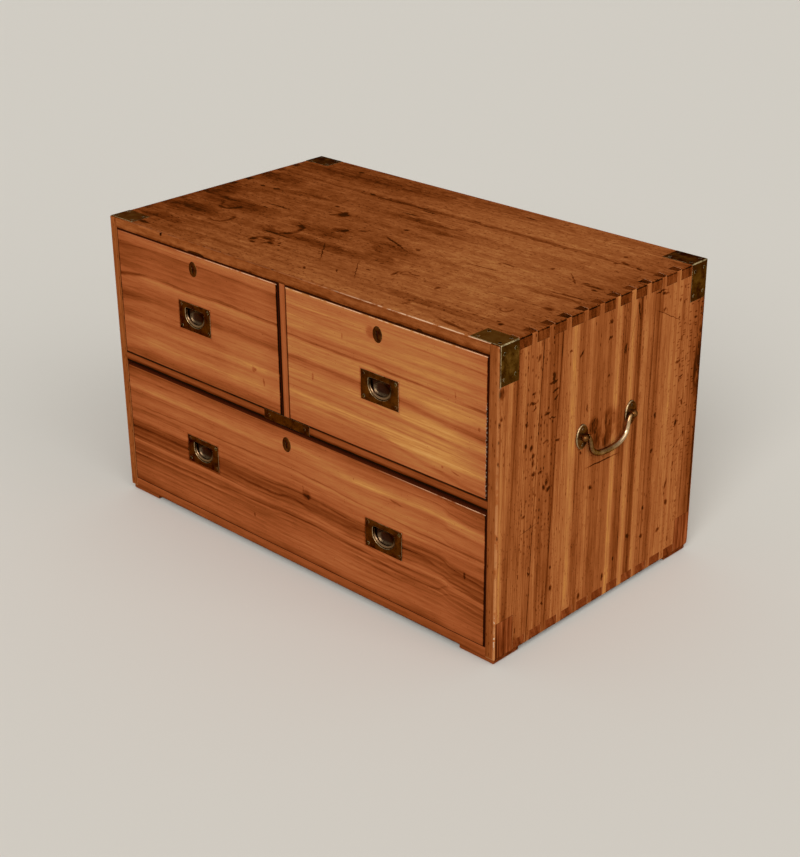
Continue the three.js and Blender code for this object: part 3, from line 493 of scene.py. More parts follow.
def topWood():
    look = woodLooks["camphorTop"]
    depths = topMarks["depths"]
    finish = Finish("camphorTop")
    parts = woodParts(finish, look)
    x, y, z = parts["x"], parts["y"], parts["z"]
    front = finish.fade(abs(parts["ny"]), 0.7, 0.95)
    ragged = finish.faceNoise(x * 26, y * 60, 3.0, 0.65)
    mottle = finish.faceNoise(x * 60, y * 150, 4.0, 0.7)
    plane = face(finish, x + (ragged - 0.5) * 0.09, y + (ragged - 0.5) * 0.040)
    pale = blots(finish, plane, topMarks["pale"], 1.2, 0.0)
    smoke = blots(finish, plane, topMarks["smoke"], 1.25, 0.0) * finish.fade(ragged, 0.34, 0.60, 0.20, 1.1)
    smoke = smoke * finish.fade(mottle, 0.25, 0.60, 0.6, 1.0)
    stained = parts["figure"] + finish.curve(x, topMarks["levels"]) + (mottle - 0.5) * 0.50
    stained = stained + pale * depths["pale"] - smoke * depths["smoke"] + (ragged - 0.5) * 0.42
    # painted shade, darker towards the back edge
    stained = stained - finish.fade(y, 0.205, 0.255) * depths["back"]
    crisp = face(finish, x + (ragged - 0.5) * 0.010, y + (mottle - 0.5) * 0.012)
    rings = ringMarks(finish, crisp, topMarks["rings"], 0.30) * finish.fade(ragged, 0.34, 0.50)
    rings = rings * finish.fade(mottle, 0.30, 0.48)
    scars = blots(finish, crisp, topMarks["scars"], 1.15, 0.3) * finish.fade(mottle, 0.30, 0.52, 0.35, 1.0)
    pits = specks(finish, x * 46, y * 150, 0.19, 0.45) * finish.fade(parts["cloud"], 0.40, 0.55)
    pits = finish.most([pits, specks(finish, x * 110, y * 150, 0.22, 0.70) * finish.fade(ragged, 0.42, 0.54)])
    freckles = finish.fade(finish.faceNoise(x * 190, y * 290, 2.0, 0.6), 0.585, 0.68)
    freckles = freckles * finish.fade(ragged, 0.42, 0.60) * finish.fade(x, -0.45, 0.30, 0.4, 1.0)
    kinds = {"rings": rings, "scars": scars, "pits": pits, "freckles": freckles}
    marks = finish.most([value * depths[kind] for kind, value in kinds.items()])
    marks = marks * finish.fade(parts["nz"], 0.5, 0.9)  # only on the upper face
    chips = blots(finish, face(finish, x, z), topMarks["frontScars"], 1.0, 0.5)
    edge = parts["figure"] * 1.3 + finish.curve(x, [(-455, 0.50), (-200, 0.44), (455, 0.40)])
    edge = edge - chips * depths["chips"]
    # painted shade along the lower part of the front edge, broken by noise
    edge = edge - finish.fade(z, 0.5290, 0.5235) * finish.fade(ragged, 0.30, 0.60, 0.06, 0.26)
    knocks = finish.faceNoise(x * 55, z * 160, 4.0, 0.7)
    edge = edge + (knocks - 0.5) * 0.55 - finish.fade(knocks, 0.60, 0.70) * 0.10
    shade = finish.node("Mix", {}, {0: front, 2: stained - marks, 3: edge})
    shade = shade.maths("MAXIMUM", shade, 0.06)
    # a thin pale line along the front arris, towards the right: wear with a painted highlight
    line = finish.fade(parts["nz"], 0.80, 0.90) * finish.fade(parts["nz"], 0.995, 0.975)
    edgeWearAndHighlight = line * finish.fade(parts["ny"], -0.1, -0.2) * finish.fade(x, 0.02, 0.30, 0.06, 1.0)
    shade = shade - arrisWear(finish, parts) * (parts["ends"] * 0.2 + 0.12)
    return woodSurface(finish, look, parts, shade, edgeWearAndHighlight)


sideMarks = {
    "depths": {"dotted": 0.30, "hair": 0.12, "smoke": 0.32, "scratches": 0.42, "imprint": 0.26, "scars": 0.44,
               "freckles": 0.22, "specks": 0.30, "backSpecks": 0.28, "rim": 0.4},
    "levels": [  # (y, tone): the broad stripes, where they cross the middle height
        (-261, 0.48), (-243, 0.68), (-231, 0.46), (-212, 0.62), (-200, 0.56), (-185, 0.55), (-168, 0.5),
        (-147, 0.46), (-129, 0.46), (-121, 0.58), (-98, 0.66), (-70, 0.6), (-45, 0.54), (6, 0.52),
        (17, 0.58), (25, 0.78), (31, 0.62), (36, 0.52), (46, 0.5), (60, 0.62), (72, 0.5), (81, 0.42),
        (89, 0.62), (98, 0.68), (112, 0.52), (136, 0.54), (152, 0.59), (165, 0.66), (180, 0.66),
        (193, 0.58), (212, 0.66), (226, 0.5), (240, 0.46), (255, 0.3),
    ],
    "dotted": [  # (y, half width): rows of pores
        (-201, 1.6), (-176, 1.4), (90, 1.2), (186, 1.4), (198, 2.4), (214, 2), (250, 2.4),
    ],
    "lines": [  # (y, half width, depth): dark late-wood lines
        (-127, 2.4, 0.26), (-172, 1.8, 0.18), (-206, 1.4, 0.14), (-153, 1.2, 0.12), (-227, 1.6, 0.14),
        (35, 1.3, 0.16), (51, 2, 0.17), (80, 3, 0.16), (73.5, 1, 0.16), (116.5, 1.4, 0.16),
        (136.5, 1.4, 0.14), (158.5, 1.2, 0.12), (227, 1.6, 0.2), (255.5, 5, 0.16),
    ],
    "scars": [
        (-253.5, 465, 7, 11, 0), (-259.2, 414, 4, 6, 0), (-253, 424, 3, 5, 0), (-259.4, 388, 3, 5, 0),
        (-259.4, 350, 3, 4.5, 0), (-259.4, 228, 3, 5, 0), (-132, 453, 3.2, 10, 0),
        (-133, 445.5, 10.5, 2.8, 3), (-128, 431, 8.5, 2.6, 10), (-182, 426, 12, 2.7, 8),
        (-126, 418, 6, 2.4, 20), (-177, 416.5, 7, 2, 15), (-181, 442, 4, 3, 0), (-183, 352, 3.6, 6, 0),
        (-178, 325, 2.4, 8, 0), (-176, 305, 5, 4, 0), (-196, 360, 3, 5, 0), (-120, 345, 6, 2.4, 0),
        (-150, 352, 8, 2, 0), (-150, 275, 3.6, 6, 0), (-160, 305, 5, 3, 0), (-147, 399, 8.5, 3.2, 5),
        (-134, 388, 9.5, 1.5, -12), (-196, 395, 4.2, 3.2, 0), (-177, 338, 4.6, 4, 0),
        (-143, 284, 4.4, 9, 0), (-198, 239, 4, 3.2, 0), (-33, 231, 9, 2.6, -45), (4, 504, 6.2, 3.6, 0),
        (5, 477, 6, 3.4, -20), (-94, 486, 5, 3.2, 0), (-67, 472, 6.4, 3.2, 40), (-169, 496, 3.4, 6.2, -20),
        (77, 502, 2.6, 15, 8), (46, 446, 3.2, 11, -8), (145, 483, 6, 4.6, 0), (189, 489, 3.2, 5, 0),
        (133, 518.5, 17, 2, 4), (179, 158, 3.2, 12, -15), (177, 141, 2.8, 7, 0), (185, 122, 4.4, 7.2, 20),
        (166, 77, 6.2, 4, 20), (117, 85, 4.2, 6.2, 0), (132, 238, 3.6, 3.6, 0), (-51, 38, 4.4, 8, 0),
        (12, 48, 3, 8, 0), (-125, 85, 4.6, 6.2, 0), (77, 100, 3.6, 6, 0), (-140, 269, 6, 3.6, 0),
        (-182, 137, 2.8, 3.2, 0), (-146, 65, 3.4, 3.6, 0), (40, 72, 3.2, 4, 0), (4, 415, 3.6, 3.6, 0),
        (137, 300, 2.6, 7, 0), (-127, 125, 3.4, 3.6, 0), (-60, 300, 2.6, 5, 0), (198, 268, 4, 5, 0),
        (222, 240, 2.6, 8, 0), (192, 380, 9, 3, 0), (205, 350, 7, 2.4, 0), (212, 300, 3, 6, 0),
        (118, 135, 3, 6, 0), (145, 512, 12, 3, -6), (236, 445, 5, 3, 0), (252, 420, 4, 7, 0),
        (-48, 375, 2, 9, 0), (-30, 345, 7, 3, 30), (-24, 330, 4, 7, 0), (-37, 334, 3, 7, 0),
        (22, 343, 7, 2.4, -20), (12, 330, 3, 6, 0),
    ],
    "imprint": [  # two arcs where something round was pressed in
        (-31, 337, 10, 13, 100), (-31, 337, 10, 13, -40),
    ],
    "scratches": [
        (-3, 268, 52, 1.6, -2), (160, 470, 45, 0.8, -28), (64, 478, 34, 0.6, 75), (-185, 215, 30, 0.6, 8),
        (200, 225, 34, 0.7, 35),
    ],
    "smoke": [
        (-30, 336, 16, 18, 0), (12, 334, 26, 26, 0), (1, 304, 26, 12, 5), (0, 315, 40, 22, 0),
        (-254, 467, 6, 11, 0), (-230, 24, 26, 12, 20), (250, 350, 10, 60, 0),
    ],
    "bare": [  # splintered places on the front arris
        (-260.6, 60, 1.4, 34, 0), (-258.5, 476.5, 2.6, 4, 0), (-259.5, 538.5, 3, 3.4, 0),
    ],
}


def sideWood(name):
    look = woodLooks["camphorSide"]
    depths = sideMarks["depths"]
    finish = Finish(name)
    parts = woodParts(finish, look)
    y, z = parts["y"], parts["z"]
    drift = finish.faceNoise(y * 8, z * 2.4, 2.0)
    lean = y - (z - 0.27) * finish.fade(y, -0.13, -0.03, 0.050, 0.010) + (drift - 0.5) * 0.007
    broken = finish.faceNoise(y * 40, z * 9, 2.0)
    striped = parts["figure"] + finish.curve(lean, sideMarks["levels"]) - 0.04
    lines = finish.most(finish.fade(abs(lean - place * mm), half * mm, 0.0) * depth
                        for place, half, depth in sideMarks["lines"])
    striped = striped - lines * finish.fade(broken, 0.3, 0.6, 0.4, 1.2)
    dotted = finish.most(finish.fade(abs(lean - place * mm), half * mm, half * 0.3 * mm)
                         for place, half in sideMarks["dotted"])
    dashes = finish.fade(finish.faceNoise(y * 50, z * 80, 1.0), 0.54, 0.62)
    striped = striped - dotted * dashes * finish.fade(broken, 0.40, 0.52) * depths["dotted"]
    hair = finish.fade(finish.lineNoise(lean + (broken - 0.5) * 0.004, 330.0, 1.0), 0.56, 0.68)
    striped = striped - hair * depths["hair"]

    def marksMade():  # one by one, so that few values wait at once
        ragged = finish.faceNoise(y * 60, z * 26, 3.0, 0.65)
        plane = face(finish, y + (ragged - 0.5) * 0.012, z + (ragged - 0.5) * 0.03)
        smoke = blots(finish, plane, sideMarks["smoke"], 1.15, 0.1)
        yield smoke * finish.fade(ragged, 0.3, 0.55) * depths["smoke"]
        plane = face(finish, y, z + (ragged - 0.5) * 0.004)
        yield blots(finish, plane, sideMarks["scratches"], 1.0, 0.5) * depths["scratches"]
        torn = finish.faceNoise(y * 130, z * 70, 3.0, 0.7)
        crisp = face(finish, y + (torn - 0.5) * 0.012, z + (ragged - 0.5) * 0.018)
        imprint = ringMarks(finish, crisp, sideMarks["imprint"], 0.4)
        yield imprint * finish.fade(torn, 0.34, 0.5) * depths["imprint"]
        scars = blots(finish, crisp, sideMarks["scars"], 1.15, 0.2)
        yield scars * finish.fade(torn, 0.3, 0.55, 0.35, 1.0) * depths["scars"]
        freckles = finish.fade(finish.faceNoise(y * 330, z * 200, 2.0, 0.6), 0.60, 0.70)
        yield freckles * finish.fade(broken, 0.40, 0.58) * depths["freckles"]
        shown = finish.fade(parts["cloud"], 0.44, 0.6)
        yield specks(finish, y * 150, z * 46, 0.2, 0.76) * shown * depths["specks"]
        yield specks(finish, y * 260, z * 90, 0.22, 0.8) * finish.fade(drift, 0.42, 0.6) * depths["specks"]
        band = finish.fade(abs(y + 0.170), 0.048, 0.030) * finish.fade(z, 0.10, 0.25)  # beside the front
        yield specks(finish, y * 120, z * 64, 0.24, 0.50) * band * depths["specks"]
        band = finish.fade(y, 0.160, 0.195) * finish.fade(z, 0.14, 0.25)  # towards the back
        yield specks(finish, y * 62, z * 170, 0.28, 0.55) * band * depths["backSpecks"]
        rim = finish.fade(abs(y), 0.2578, 0.2584) * finish.fade(abs(y), 0.2600, 0.2594)  # beside the straps
        yield rim * finish.fade(z, 0.474, 0.477) * depths["rim"]

    shade = striped - finish.most(marksMade()) * finish.fade(abs(parts["nx"]), 0.5, 0.9)
    edge = parts["figure"] + finish.curve(z, [(10, 0.40), (300, 0.46), (540, 0.44)])
    edge = edge - specks(finish, parts["x"] * 200, z * 60, 0.25, 0.72) * 0.2
    shade = finish.node("Mix", {}, {0: finish.fade(abs(parts["ny"]), 0.7, 0.95), 2: shade, 3: edge})
    shade = finish.node("Mix", {}, {0: parts["ends"], 2: shade, 3: parts["cloud"] * 0.5 + 0.20})
    shade = shade.maths("MAXIMUM", shade, 0.06)
    splinters = finish.fade(finish.noise(parts["place"], 240.0, 3.0, 0.6), 0.50, 0.60)
    bare = blots(finish, face(finish, y, z), sideMarks["bare"], 1.1, 0.3) * splinters
    bare = bare * finish.fade(parts["x"], 0.4520, 0.4542)  # on the right side only
    edgeWearAndHighlight = arrisWear(finish, parts) * finish.fade(z, 0.40, 0.22, 1.0, 2.6) * finish.fade(z, 0.535, 0.529)
    return woodSurface(finish, look, parts, shade, edgeWearAndHighlight, bare)


frontMarks = {
    "upper_left_drawer": {
        "seed": 1.3, "hair": 0.07, "gap": 4, "lightFalloff": 0.07, "lip": (-340, -100, 0.1, 0.9),
        "bands": [  # (z, tone) where the grain's line crosses the middle of the front
            (284, 0.46), (300, 0.58), (318, 0.74), (340, 0.64), (362, 0.72), (378, 0.64), (390, 0.66),
            (408, 0.54), (420, 0.58), (436, 0.7), (448, 0.6), (458, 0.58), (466, 0.55), (474, 0.57),
            (480, 0.54), (488, 0.58), (496, 0.55), (504, 0.6), (520, 0.56),
        ],
        "streaks": [  # (how far it fades above, below, depth, the (x, z) points of its line)
            (4, 6, 0.27, [(-440, 438.5), (-400, 445), (-360, 450.5), (-240, 449.5), (-130, 451),
                (-20, 447.5)]),
            (1.6, 2.4, 0.09, [(-440, 495), (-362, 500), (-203, 501), (-20, 497)]),
            (12, 14, 0.06, [(-440, 397), (-372, 408), (-281, 417), (-181, 410), (-98, 407), (-20, 409)]),
            (6, 9, 0.08, [(-440, 360), (-300, 372), (-180, 370), (-20, 366)]),
        ],
        "sheen": [(-105, 380, 70, 70, 0), (-80, 480, 50, 30, 0)],
        "knots": [(-85, 351, 5, 6, 0)],
        "scars": [(-60, 335, 3, 9, 10), (-80, 352, 3, 4, 0)],
    },
    "upper_right_drawer": {
        "seed": 4.6, "hair": 0.08, "gap": 1.2, "lightFalloff": 0.08, "lip": (-100, 100, 0.5, 1),
        "crumble": (450, 3.4),
        "bands": [
            (284, 0.52), (300, 0.64), (314, 0.7), (330, 0.84), (346, 0.74), (358, 0.72), (372, 0.82),
            (384, 0.78), (398, 0.66), (412, 0.74), (428, 0.78), (446, 0.7), (456, 0.84), (468, 0.72),
            (486, 0.76), (504, 0.74), (520, 0.7),
        ],
        "streaks": [
            (3.5, 5, 0.28, [(0, 440.5), (90, 439.5), (145, 439), (225, 438), (306, 435), (435, 428.5)]),
            (8, 10, 0.18, [(0, 402), (90, 402), (160, 400), (260, 396), (330, 389), (435, 384)]),
            (2.5, 3, 0.12, [(0, 491), (91, 492), (173, 494), (435, 490)]),
            (5, 7, 0.15, [(0, 326), (170, 323.6), (306, 307), (435, 288)]),
            (5, 6, 0.12, [(0, 375), (170, 373), (300, 362), (435, 352)]),
            (1.6, 3.4, 0.12, [(0, 352), (200, 347), (435, 337)]),
        ],
        "sheen": [(300, 330, 110, 40, 6), (340, 392, 50, 22, 0)],
        "knots": [(194, 493, 12, 11, 0)],
        "scars": [
            (130, 470, 2, 6, 0), (370, 440, 1.6, 8, 15), (418, 398, 3, 5, 0), (372, 310, 12, 2, -12),
            (345, 313, 3, 3, 0), (60, 380, 3, 8, 0),
        ],
    },
    "lower_drawer": {
        "seed": 8.2, "hair": 0.1, "gap": 1.2, "lightFalloff": 0.06, "lip": (150, 400, 0, 0.8),
        "bands": [
            (26, 0.36), (36, 0.46), (50, 0.54), (66, 0.54), (78, 0.5), (83, 0.44), (87, 0.54), (92, 0.38),
            (97, 0.52), (101, 0.42), (106, 0.48), (111, 0.62), (117, 0.56), (121, 0.42), (126, 0.46),
            (130, 0.36), (135, 0.46), (141, 0.4), (147, 0.52), (151, 0.44), (156, 0.56), (166, 0.6),
            (176, 0.56), (184, 0.62), (189, 0.56), (194, 0.6), (204, 0.64), (212, 0.58), (220, 0.72),
            (230, 0.78), (238, 0.64), (248, 0.56), (256, 0.5), (262, 0.46),
        ],
        "streaks": [
            (2.4, 4.4, 0.19, [(-440, 146), (-350, 147), (-270, 148), (-180, 148.5), (-60, 148.5), (0, 154),
                (40, 153), (90, 150.7), (170, 145), (260, 150), (330, 152), (360, 143), (435, 133)]),
            (2.2, 4.5, 0.17, [(-440, 94.5), (-300, 94), (-180, 97), (-50, 101), (20, 104), (100, 101),
                (170, 98),
                (270, 90), (335, 95), (375, 109), (435, 106)]),
            (1.6, 3.6, 0.13, [(-440, 118), (-280, 119), (-180, 117), (-50, 114), (20, 118), (100, 114),
                (170, 112), (270, 106), (335, 111), (375, 124), (435, 118)]),
            (1.4, 3.6, 0.12, [(-440, 82), (-300, 82), (-180, 85), (-50, 88), (20, 91), (100, 88), (270, 78),
                (335, 82), (375, 95), (435, 92)]),
            (3, 5, 0.13, [(-440, 140), (-280, 140), (-180, 136), (-50, 131), (0, 138), (50, 130), (160, 134),
                (300, 140), (350, 130), (390, 136), (435, 126)]),
            (1.6, 3.4, 0.16, [(-440, 186), (-160, 190), (0, 193), (170, 185), (435, 178)]),
            (6, 8, 0.09, [(-440, 168), (-340, 176), (-280, 170), (-200, 164), (0, 166), (435, 160)]),
        ],
        "sheen": [(180, 195, 180, 40, -3), (120, 60, 180, 30, 0)],
        "knots": [(36, 156, 12, 10, 0)],
        "scars": [
            (27, 165, 1.4, 9, 0), (40, 153, 4, 6, 0), (245, 215, 18, 2.4, -10), (150, 226, 1.2, 2.4, 0),
            (392, 140, 3, 8, 0), (-100, 70, 2.4, 6, 0),
        ],
    },
}


keyhole = {
    "plate": (20 * mm, 27 * mm), "radius": 3.0 * mm, "slot": 3.2 * mm, "slotFoot": -7.0 * mm,
    "rise": 3.5 * mm,
    "rims": [  # (outline, inset, depth into the wood) in millimetres, from the hole's back round to its front
        ("hole", 0, 1.2), ("oval", 0, 1.2), ("oval", 0, 0.3), ("oval", 0.15, 0.05), ("oval", 0.6, -0.15),
        ("oval", 2.0, -0.3), ("hole", -1.0, -0.35), ("hole", -0.25, -0.2), ("hole", 0, 0.15),
        ("hole", 0, 1.2),
    ],
}


def middleOf(name):  # the place of a piece's middle on the front
    low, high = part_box(name)
    return (low.x + high.x) / 2, (low.z + high.z) / 2


def platesOn(drawer):
    names = [drawer + "_handle_plate" + end for end in ("", "_left", "_right")]
    return [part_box(name) for name in names if name in nodes]


def boxDistance(finish, x, z, box):  # how far a place on the front lies outside a plate
    low, high = box
    across = abs(x - (low.x + high.x) / 2) - (high.x - low.x) / 2
    up = abs(z - (low.z + high.z) / 2) - (high.z - low.z) / 2
    return finish.most([across, up])


def frontWood(drawer):
    marks = frontMarks[drawer]
    look = {**frontLook, "seed": marks["seed"]}
    depths = look["depths"]
    finish = Finish("camphorFront_" + drawer)
    parts = woodParts(finish, look)
    x, z = parts["x"], parts["z"]
    ripple = finish.faceNoise(x * 14, z * 30, 3.0, 0.6)
    height = z + (ripple - 0.5) * 0.006
    main = marks["streaks"][0][-1]
    middle = sum(up for _, up in main) / len(main) * mm
    bandsAt = height - (wander(finish, x, main) - middle) * 0.8
    bands = finish.curve(bandsAt, marks["bands"])
    dark = finish.most(streak(finish, x, height, one) for one in marks["streaks"])
    threads = finish.lineNoise(height + (parts["cloud"] - 0.5) * 0.01, 420.0, 1.0)
    # paler patches: a painted satin sheen
    sheen = blots(finish, face(finish, x, z), marks["sheen"], 1.2, 0.0)
    knots = blots(finish, face(finish, x, z), marks["knots"], 1.1, 0.2)
    # the tone rises from left to right: a painted fall of light across the front
    shade = parts["figure"] + bands + x * marks["lightFalloff"]
    shade = shade + sheen * depths["sheen"] - knots * depths["knots"] - 0.05
    shade = shade - finish.fade(abs(x), 0.34, 0.45) * depths["ends"]
    faint = finish.faceNoise(x * 7, z * 30, 2.0)
    dark = dark * finish.fade(threads, 0.2, 0.55, 0.6, 1.1) * finish.fade(faint, 0.30, 0.55, 0.45, 1.1)
    shade = shade - dark
    hair = finish.fade(finish.lineNoise(bandsAt + marks["seed"], 300.0, 1.0), 0.56, 0.68)
    shade = shade - hair * finish.fade(finish.faceNoise(x * 5, z * 16), 0.35, 0.6) * marks["hair"]
    ragged = finish.faceNoise(x * 60, z * 60, 3.0, 0.6)
    crisp = face(finish, x + (ragged - 0.5) * 0.005, z + (ragged - 0.5) * 0.005)
    scars = blots(finish, crisp, marks["scars"], 1.0, 0.3) * finish.fade(ragged, 0.25, 0.5)
    pits = specks(finish, x * 70, z * 90, 0.09, 0.86)
    shown = finish.most([scars * depths["scars"], pits * depths["pits"]])
    shown = shown * finish.fade(abs(parts["ny"]), 0.5, 0.9)  # only on the front's face
    low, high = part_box(drawer + "_front")

    def towards(value, edge, start, full):  # grows from start to full, in millimetres past an edge
        return finish.fade(value, edge + start * mm, edge + full * mm)

    # painted shade along the front's left, bottom and right edges, beside the gaps; "gap" is how far it
    # reaches in from the right edge, in millimetres
    gap = marks["gap"]
    edgeShade = finish.most([
        towards(x, low.x, 1.3, 0.3), towards(z, low.z, 1.5, 0.4), towards(x, high.x, -gap, -gap * 0.4)])
    side = towards(x, high.x, -2.6, -1.0) * finish.fade(ragged, 0.35, 0.55)
    outside = (boxDistance(finish, x, z, plate) for plate in platesOn(drawer))
    halo = finish.most(towards(distance, 0, 4.5, 0.5) for distance in outside)
    halo = halo * finish.fade(ragged, 0.30, 0.56, 0.4, 1.0)
    shown = shown + side * depths["side"] + halo * depths["halo"]
    shade = (shade - shown).maths("MAXIMUM", shade - shown, 0.06)
    start, end, least, greatest = marks["lip"]
    # a pale line just under the top arris: wear with a painted highlight
    lip = towards(z, high.z, -1.9, -0.9) * finish.fade(parts["ny"], -0.3, -0.6)
    lip = lip * finish.fade(x, start * mm, end * mm, least, greatest)
    # painted shade: the wood behind the keyhole is darkened to stand for the dark hole
    keyX, keyZ = middleOf(drawer + "_keyplate")
    keyBlot = (keyX / mm, keyZ / mm, 6, 9, 0)
    keyholeShade = finish.fade(blot(finish, face(finish, x, z), keyBlot), 1.2, 1.0)
    bare = None
    if "crumble" in marks:  # the lower part of the edge beside the case has splintered
        top, width = marks["crumble"]
        splinters = finish.faceNoise(x * 400, z * 260, 3.0, 0.6)
        bare = towards(x, high.x, -width, -width * 0.4) * towards(z, 0, top, top - 10)
        bare = bare * finish.fade(splinters, 0.50, 0.60) * 0.35
    return woodSurface(finish, look, parts, shade - edgeShade * depths["edgeShade"] - keyholeShade, lip, bare)


# Brass and iron. "dents" is how rough the metal's face is, "rim" (wear and a painted glint) and "shadow"
# (painted shade) are places along y and z, the highlight list holds (axis, start, end) as shares of the
# piece's own box where a highlight is painted, and "sunk" is where along y a piece grows dark with painted
# shade, and how much

edgeOn = "8e7c5c"  # what the metal reflects to an edge-on view

brassLooks = {
    "strapBrass": {
        "dark": "44290c", "light": "7e5a29", "worn": "e6cf9c", "wornShare": 1.0, "rough": 0.38, "dents": 0.16,
        "rim": (0.2572, 0.2577), "shadow": [(0.494, 0.479), (0.520, 0.533)], "rubbedAndLit": "8e683c",
    },
    "plateBrass": {
        "dark": "351906", "light": "683a10", "worn": "e0c493", "wornShare": 0.7, "rough": 0.34, "dents": 0.12,
        "sunk": (-0.2600, -0.2575, 0.8), "sunkTone": "3a221a",
    },
    "keyBrass": {
        "dark": "3c1c0b", "light": "704119", "worn": "8c7444", "wornShare": 0.3, "rough": 0.42, "dents": 0.12,
        "sunk": (-0.2605, -0.2598, 0.95), "sunkTone": "0d0904",
    },
    "bailBrass": {
        "dark": "22130a", "light": "402812", "worn": "c09a74", "wornShare": 0.0, "rough": 0.24, "dents": 0.04,
        "highlight": [(0, 1.6, 0.1), (2, 0.80, 0.40)],
    },
    "roseBrass": {
        "dark": "48290f", "light": "80552c", "worn": "e2c696", "wornShare": 0.55, "rough": 0.36,
        "dents": 0.10, "flatTo": 0.4581,
    },
    "handledBrass": {
        "dark": "6c4c2a", "light": "a47c50", "worn": "e8c8a0", "wornShare": 0.0, "rough": 0.28, "dents": 0.04,
        "highlight": [(1, 0.50, 0.80), (2, 0.95, 0.60)],
    },
    # the screws' pale edge colour is a painted glint
    "screwBrass": {
        "dark": "2e220a", "light": "6e5826", "worn": "f6e6c4", "wornShare": 0.9, "rough": 0.34, "dents": 0.1,
    },
    "lockIron": {
        "dark": "34302b", "light": "5c564e", "worn": "7d766b", "wornShare": 0.6, "rough": 0.5, "dents": 0.15,
    },
}


def brass(name):
    look = brassLooks[name]
    finish = Finish(name)
    place = finish.node("TexCoord", output="Object")
    nx, ny, nz = finish.split(finish.node("TexCoord", output="Normal"))
    cloud = finish.noise(place, 70.0, 4.0, 0.6)
    grit = finish.noise(place, 420.0, 3.0, 0.6)
    patina = cloud * 0.7 + grit * 0.3
    colour = finish.ramp(patina, [(0.38, look["dark"]), (0.64, look["light"])])
    x, y, z = finish.split(place)
    worn = arrisWear(finish, {"nx": nx, "ny": ny, "nz": nz}, 0.20, 0.42)
    if "flatTo" in look:  # above this the piece is round and keeps its colour
        worn = worn * finish.fade(abs(x), look["flatTo"], look["flatTo"] - 0.0003)
    if "shadow" in look:  # painted shade at the ends of the upright leg, and a painted reflection that makes the flat one paler
        shadedEnds = finish.most(finish.fade(z, *pair) for pair in look["shadow"]) * finish.fade(abs(nx), 0.7, 0.9)
        colour = finish.mix(shadedEnds * 0.6, colour, tone(look["dark"]))
        rubbedAndLit = finish.fade(nz, 0.7, 0.9) * finish.fade(y, 0.05, -0.05, 0.1, 0.75)
        colour = finish.mix(rubbedAndLit, colour, tone(look["rubbedAndLit"]))
    if "rim" in look:  # the long edge beside the case's front and back: wear and a painted glint
        worn = finish.most([worn, finish.fade(abs(y), *look["rim"])])
        worn = worn * finish.fade(cloud, 0.36, 0.56, 0.3, 1.0)
    colour = finish.mix(worn * finish.fade(grit, 0.32, 0.52) * look["wornShare"], colour, tone(look["worn"]))
    if "highlight" in look:  # a painted highlight, placed by shares of the piece's own box
        own = finish.split(finish.node("TexCoord", output="Generated"))
        bright = 0.6
        for axis, start, end in look["highlight"]:
            bright = finish.fade(own[axis], start, end) * bright
        colour = finish.mix(bright, colour, tone(look["worn"]))
    # painted shade where the piece sinks into the front: the handle's dish and the keyhole
    if "sunk" in look:
        start, end, share = look["sunk"]
        colour = finish.mix(finish.fade(y, start, end) * share, colour, tone(look["sunkTone"]))
    rough = look["rough"] + (patina - 0.5) * 0.5
    bump = finish.node("Bump", {}, {"Strength": look["dents"], "Distance": 0.0003, "Height": grit + cloud})
    return finish.surface({
        "Base Color": colour, "Metallic": 1.0, "Roughness": rough, "Normal": bump,
        "Specular Tint": tone(edgeOn)})


print("finishes")
finishes = {name: plainWood(name) for name in woodLooks if name not in ("camphorTop", "camphorSide")}
finishes["camphorTop"] = topWood()
finishes["camphorSide"] = sideWood("camphorSide")
finishes.update({name: brass(name) for name in brassLooks})
finishes.update({"front_" + drawer: frontWood(drawer) for drawer in frontMarks})

# The solids' own boards and plates: a finish and softened edges

boardFinish = {
    "top_board": "camphorTop", "right_side": "camphorSide", "left_side": "camphorSide",
    "bottom_board": "camphorBottom", "middle_rail": "camphorRail", "upright": "camphorUpright",
    "dust_board": "secondaryAlongX", "back_board_lower": "secondaryAlongX",
    "back_board_upper": "secondaryAlongX", "rail_plate": "plateBrass",
}
for corner in ("front_right", "front_left", "back_right", "back_left"):
    boardFinish["strap_" + corner] = "strapBrass"
    boardFinish["corner_patch_" + corner] = "inlaidWood"
    boardFinish["foot_" + corner] = "footWood"
for drawer in frontMarks:
    boardFinish[drawer + "_front"] = "front_" + drawer
    boardFinish[drawer + "_right_side"] = "secondaryAlongY"
    boardFinish[drawer + "_left_side"] = "secondaryAlongY"
    boardFinish[drawer + "_back"] = "secondaryAlongX"
    boardFinish[drawer + "_bottom"] = "secondaryAlongX"
    boardFinish[drawer + "_lock"] = "lockIron"
    boardFinish[drawer + "_bolt"] = "handledBrass"

edgeLook = {
    "usual": 0.5 * mm, "round": 1.1 * mm, "strapBrass": 0.25 * mm, "plateBrass": 0.25 * mm,
    "lockIron": 0.3 * mm, "handledBrass": 0.3 * mm, "inlaidWood": 0.25 * mm, "camphorTop": 0.35 * mm,
    "camphorSide": 0.35 * mm, "footWood": 0.8 * mm,
}


def softenEdges(node, width):
    weld = node.modifiers.new("weld", "WELD")
    weld.merge_threshold = 0.00001
    flat = node.modifiers.new("flat", "DECIMATE")
    flat.decimate_type = "DISSOLVE"
    flat.angle_limit = math.radians(0.5)
    for name, span, limit in (("edges", width, 60), ("rounded", edgeLook["round"], 40)):
        bevel = node.modifiers.new(name, "BEVEL")
        bevel.width = span
        bevel.segments = 3
        bevel.limit_method = "ANGLE"
        bevel.angle_limit = math.radians(limit)


for name, finishName in boardFinish.items():
    node = nodes[name]
    node.data.materials.clear()
    node.data.materials.append(finishes[finishName])
    softenEdges(node, edgeLook.get(finishName, edgeLook["usual"]))
print("boards", len(boardFinish))

# New pieces


